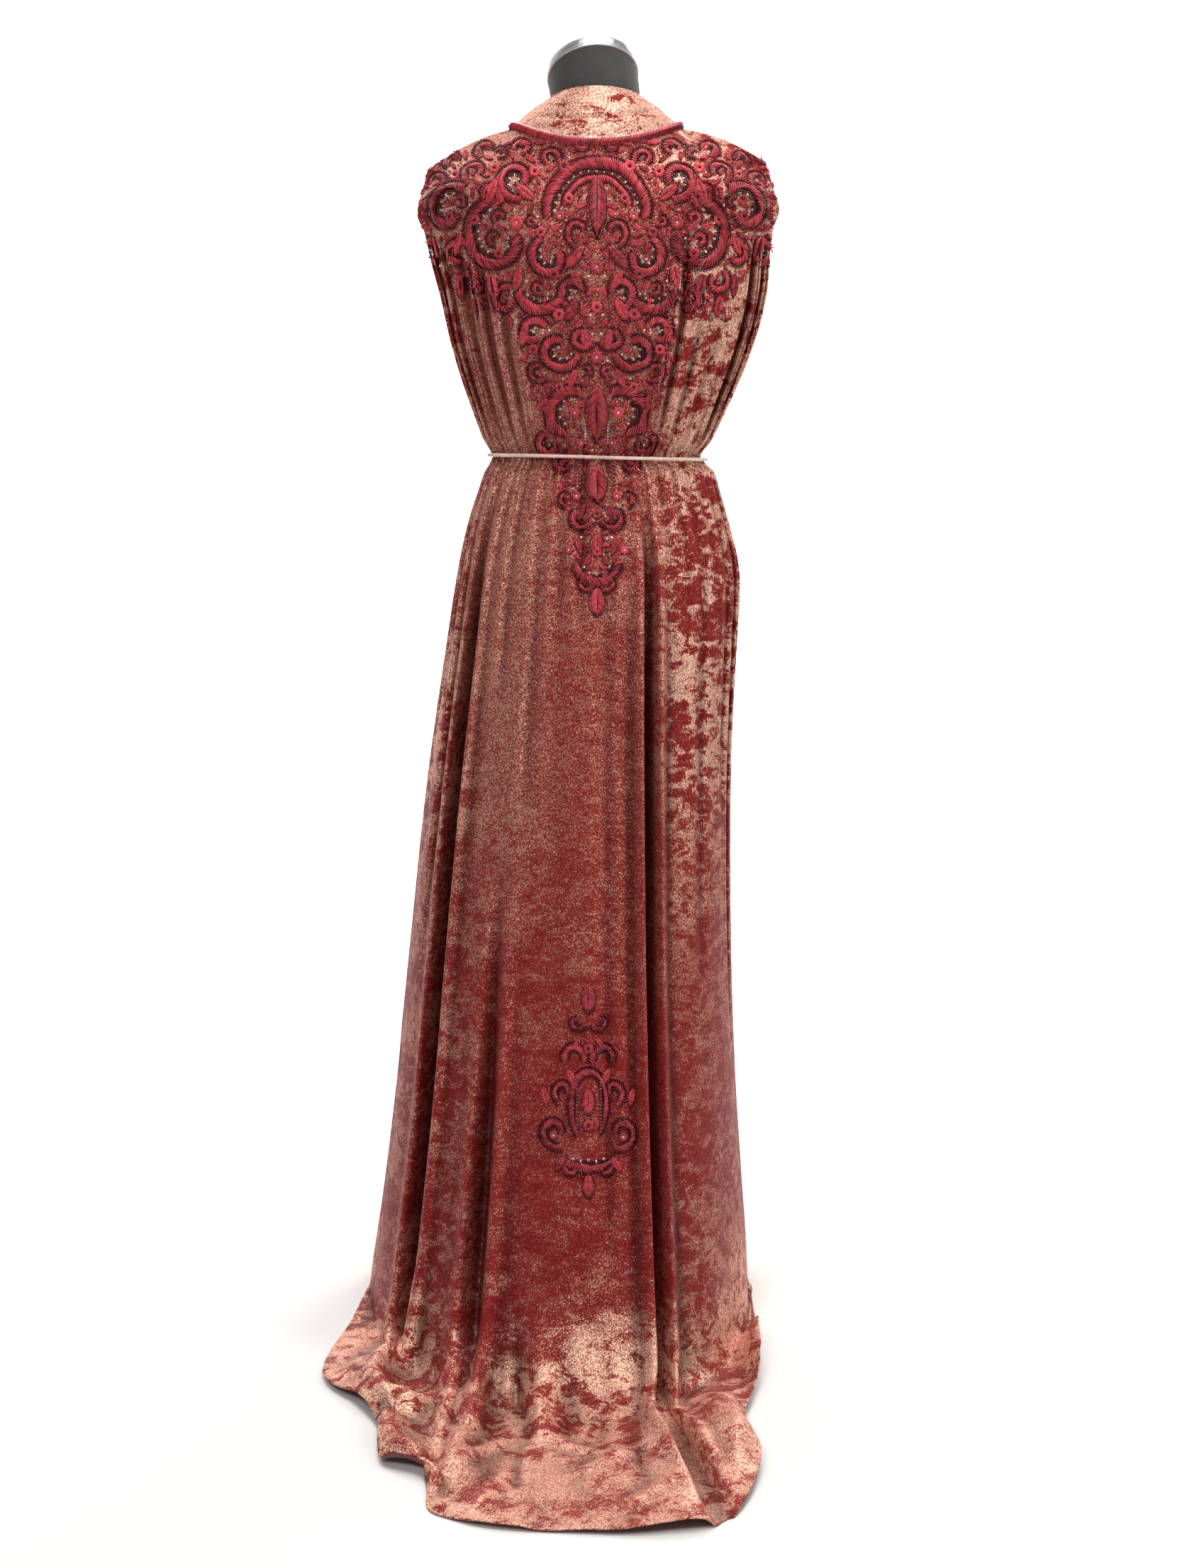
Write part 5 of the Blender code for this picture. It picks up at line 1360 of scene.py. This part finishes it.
def layLeaf(leaf, way, shift=0.0):
    # a feather leaf: slanted strands on both sides of a midrib, from its root to its tip
    turn, slant = radians(leaf.angle), beading["leafSlant"]
    run = np.array([cos(turn) * way, sin(turn)])
    side = np.array([-run[1], run[0]])
    root = np.array([leaf.x * way + shift, leaf.z])
    shares = np.linspace(0.0, 1.0, 9)

    def half(share):
        return leaf.width / 2 * max(0.10, sin(pi * min(share, 1.0) ** 0.8) ** 0.7)

    addPad([(root + run * leaf.length * s, side, 2 * half(s) * 0.9) for s in shares], regionOf(*root))
    count = max(4, int(leaf.length / beading["leafPitch"]))
    base = picks.uniform(0.3, 0.8)
    for i in range(count):
        share = (i + 0.5) / count
        reach = half(min(1.0, share + 0.08)) * 1.12
        for sign in (-1, 1):
            direction = side * sign * cos(slant) + run * sin(slant)
            place = root + run * leaf.length * (share - 0.06) + direction * reach * 0.52
            layFlat("bugle", *place, atan2(direction[1], direction[0]), (reach * 1.15, 0.0023, 0.0020 + reach * 0.10),
                    base + picks.uniform(-0.3, 0.3), leaf.width * beading["padRise"] * 0.45)
        markWorked(*(root + run * leaf.length * share), reach)
    if leaf.width > 0.0115:
        for sign in (1, -1):
            edge = [root + run * leaf.length * s + side * sign * (half(s) + 0.0016) for s in shares]
            outlineBeads(edge, *beading["leafOutline"])


def layFlower(flower, way, shift=0.0):
    # satin petals round a stone, with dark beads between them
    x, z, radius = flower.x * way + shift, flower.z, flower.radius
    start = picks.uniform(0, 2 * pi)
    tone = picks.uniform(0.35, 0.95)
    for petal in range(flower.petals):
        angle = start + petal * 2 * pi / flower.petals
        for spread in (-0.30, 0.0, 0.30):
            direction = angle + spread * 0.7
            reach = radius * (0.80 if spread else 0.92)
            px = x + cos(direction) * reach * 0.58 + cos(angle + pi / 2) * spread * 0.0030
            pz = z + sin(direction) * reach * 0.58 + sin(angle + pi / 2) * spread * 0.0030
            layFlat("bugle", px, pz, direction, (reach * 0.80, 0.0026, 0.0030), tone + picks.uniform(-0.2, 0.2))
        between = angle + pi / flower.petals
        px, pz = x + cos(between) * radius * 0.92, z + sin(between) * radius * 0.92
        layFlat("seed", px, pz, 0.0, 0.0020, picks.uniform(0, 1))
    layFlat("crystal" if flower.petals % 2 else "seed", x, z, 0.0, 0.0036, picks.uniform(0, 1), 0.0012)
    markWorked(x, z, radius)


def layDrop(x, z, angle, length, width):
    # a red drop stone in a frame of tiny beads
    layFlat("stone", x, z, angle, (length, width, width * 0.7), picks.uniform(0, 1), 0.0004)
    ring = [(x + cos(angle) * cos(t) * length * 0.62 - sin(angle) * sin(t) * width * 0.66,
             z + sin(angle) * cos(t) * length * 0.62 + cos(angle) * sin(t) * width * 0.66)
            for t in np.linspace(0, 2 * pi, 24)]
    outlineBeads(ring, 0.0021, 0.0018, "redSeed")
    markWorked(x, z, max(length, width) * 0.65)


def layDangle(x, z, count):
    # sequins strung down in a column, ending in a pearl
    step = beading["dangleStep"]
    for i in range(count):
        layFlat("sequin", x + picks.uniform(-0.0004, 0.0004), z - i * step, -pi / 2, step, picks.uniform(0, 1))
        markWorked(x, z - i * step, 0.002)
    layFlat("pearl", x, z - count * step - 0.0012, 0.0, 0.0036, picks.uniform(0, 1))


def fillGaps():
    # seeded small work in the bare places of the yoke and column, mirrored over the middle
    tries = np.random.default_rng(77)
    # the least and the most room for each round, and how many tries it has
    rounds = ((0.0110, 0.018, 4000), (0.0068, 0.0110, 9000), (0.0044, 0.0068, 14000), (0.0026, 0.0044, 7000))
    for least, most, count in rounds:
        for _ in range(count):
            z = tries.uniform(0.93, 1.485)
            x = tries.uniform(0.003, 0.224)
            if x > np.interp(z, *coverage.T) - 0.004 or z > 1.474 + 0.30 * x:
                continue
            taken = worked["spots"][:worked["count"]]
            room = (np.hypot(taken[:, 0] - x, taken[:, 1] - z) - taken[:, 2]).min() + 0.0004
            if room < least or x - min(room, most) < 0.001:
                continue
            size = min(room, most)
            angle = tries.uniform(-pi, pi)
            degrees = np.degrees(angle)
            kind = tries.integers(0, 3)
            root = (x - cos(angle) * size, z - sin(angle) * size)
            for way in ways:
                if size > 0.0090 and kind == 0 and angle > 0.8:
                    layFlower(Flower(x, z, size * 0.72, 5), way)
                elif size > 0.0090:
                    layRope(Rope(x, z, size * 0.72, size * 0.26, size * 0.58, degrees, degrees + 250), way)
                elif size > 0.0068 and kind == 0 and angle > 0.6:
                    layFlower(Flower(x, z, size * 0.95, 5), way)
                elif size > 0.0068:
                    layLeaf(Leaf(*root, size * 2.0, size * 0.85, degrees), way)
                elif size > 0.0044:
                    layLeaf(Leaf(*root, size * 2.1, size * 1.05, degrees), way)
                else:
                    shade = ("seed", "redSeed", "crystal")[kind] if tries.uniform() > 0.25 else "redSeed"
                    bead = min(0.0032, size * 0.8)
                    layFlat(shade, x * way, z, 0.0, bead, tries.uniform(0, 1))
                    markWorked(x * way, z, bead * 0.6)


def embroider():
    for rows, layOne in ((ropes, layRope), (leaves, layLeaf), (flowers, layFlower)):
        for row in rows:
            for way in ways if row.x > 0 else (1.0,):
                layOne(row, way, beading["motifX"] if row.x > 0 and row.z < beading["motifHeight"] else 0.0)
    for way in ways:
        # strings of beads, each from a place at its top to one at its end
        for kind, x, top, endX, bottom, shift, pitch, size in (
                ("pearl", 0.022, 1.140, 0.022, 1.062, 0.0, 0.0046, 0.0042),
                ("pearl", 0.054, 1.136, 0.050, 1.104, 0.0, 0.0044, 0.0040),
                ("crystal", 0.014, 1.140, 0.014, 1.118, 0.0, 0.0036, 0.0028),
                ("pearl", 0.014, 0.352, 0.014, 0.292, beading["motifX"], 0.0038, 0.0034)):
            outlineBeads([(x * way + shift, top), (endX * way + shift, bottom)], pitch, size, kind, mark=size * 0.8)
        for x, z, count in ((0.196, 1.345, 5), (0.162, 1.290, 6), (0.120, 1.268, 6), (0.066, 1.262, 4),
                            (0.030, 1.188, 4), (0.052, 1.098, 5), (0.036, 0.978, 3)):
            layDangle(x * way, z, count)
        for x, z, turn, length, width in ((0.116, 1.414, 90, 0.011, 0.008), (0.064, 1.288, -90, 0.010, 0.007),
                                          (0.046, 1.064, -90, 0.010, 0.007)):
            layDrop(x * way, z, radians(turn), length, width)
    layDrop(0.0, 1.060, radians(-90), 0.012, 0.009)
    layDrop(0.0, 0.986, radians(-90), 0.011, 0.008)
    fillGaps()


def padNodes(key):
    # the raised strips of the model that a padding piece stands for
    strips = [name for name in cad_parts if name.startswith("applique_")]
    if key == "Hem":
        return [name for name in strips if "_skirt_" in name]
    column = ("column_scroll", "plume", "pendant", "spindle", "oval", "drop_leaf")
    if key == "Column":
        return [name for name in strips if any(word in name for word in column)]
    others = [name for name in strips if "_skirt_" not in name and not any(word in name for word in column)]
    middle = ["applique_arch", "applique_arch_leaf"] if key == "Left" else []
    return [name for name in others if name.endswith("_" + key.lower())] + middle


loop = neckLoop()
band = addNeckband(loop)
addNeckRope(loop)
clothTree = gridTree(backGrid)
addBelt(gridTree(backGrid, frontGrid[:, ::-1]))
embroider()
bakeBeads()
for key, (points, faces) in pads.items():
    tones = {"tone": np.full(len(points), 0.4)}
    pad = meshPiece(f"satinPadding{key}", points, faces, [finishes["satin"]], attributes=tones)
    handOver(pad, "beadwork", *padNodes(key))
print("embroidery: ready")


# The cut of each cloth piece: the width and length of its flat cloth and its flat area, in metres
cuts = (
    (backBodice, (0.78, 0.49), 0.262, "gathered", ["neckRopeCore", "formJersey"]),
    (backSkirt, (1.98, 1.54), 1.310, "gathered", ["beltCord"]),
    (frontBodice, (0.74, 0.49), 0.236, "gathered", ["neckRopeCore", "formJersey"]),
    (frontSkirt, (0.90, 1.14), 0.872, "gathered", ["beltCord"]),
    (band, (0.78, 0.075), 0.040, "folded", ["formJersey"]),
)
for piece, flat, area, held, restsOn in cuts:
    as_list(restsOn)
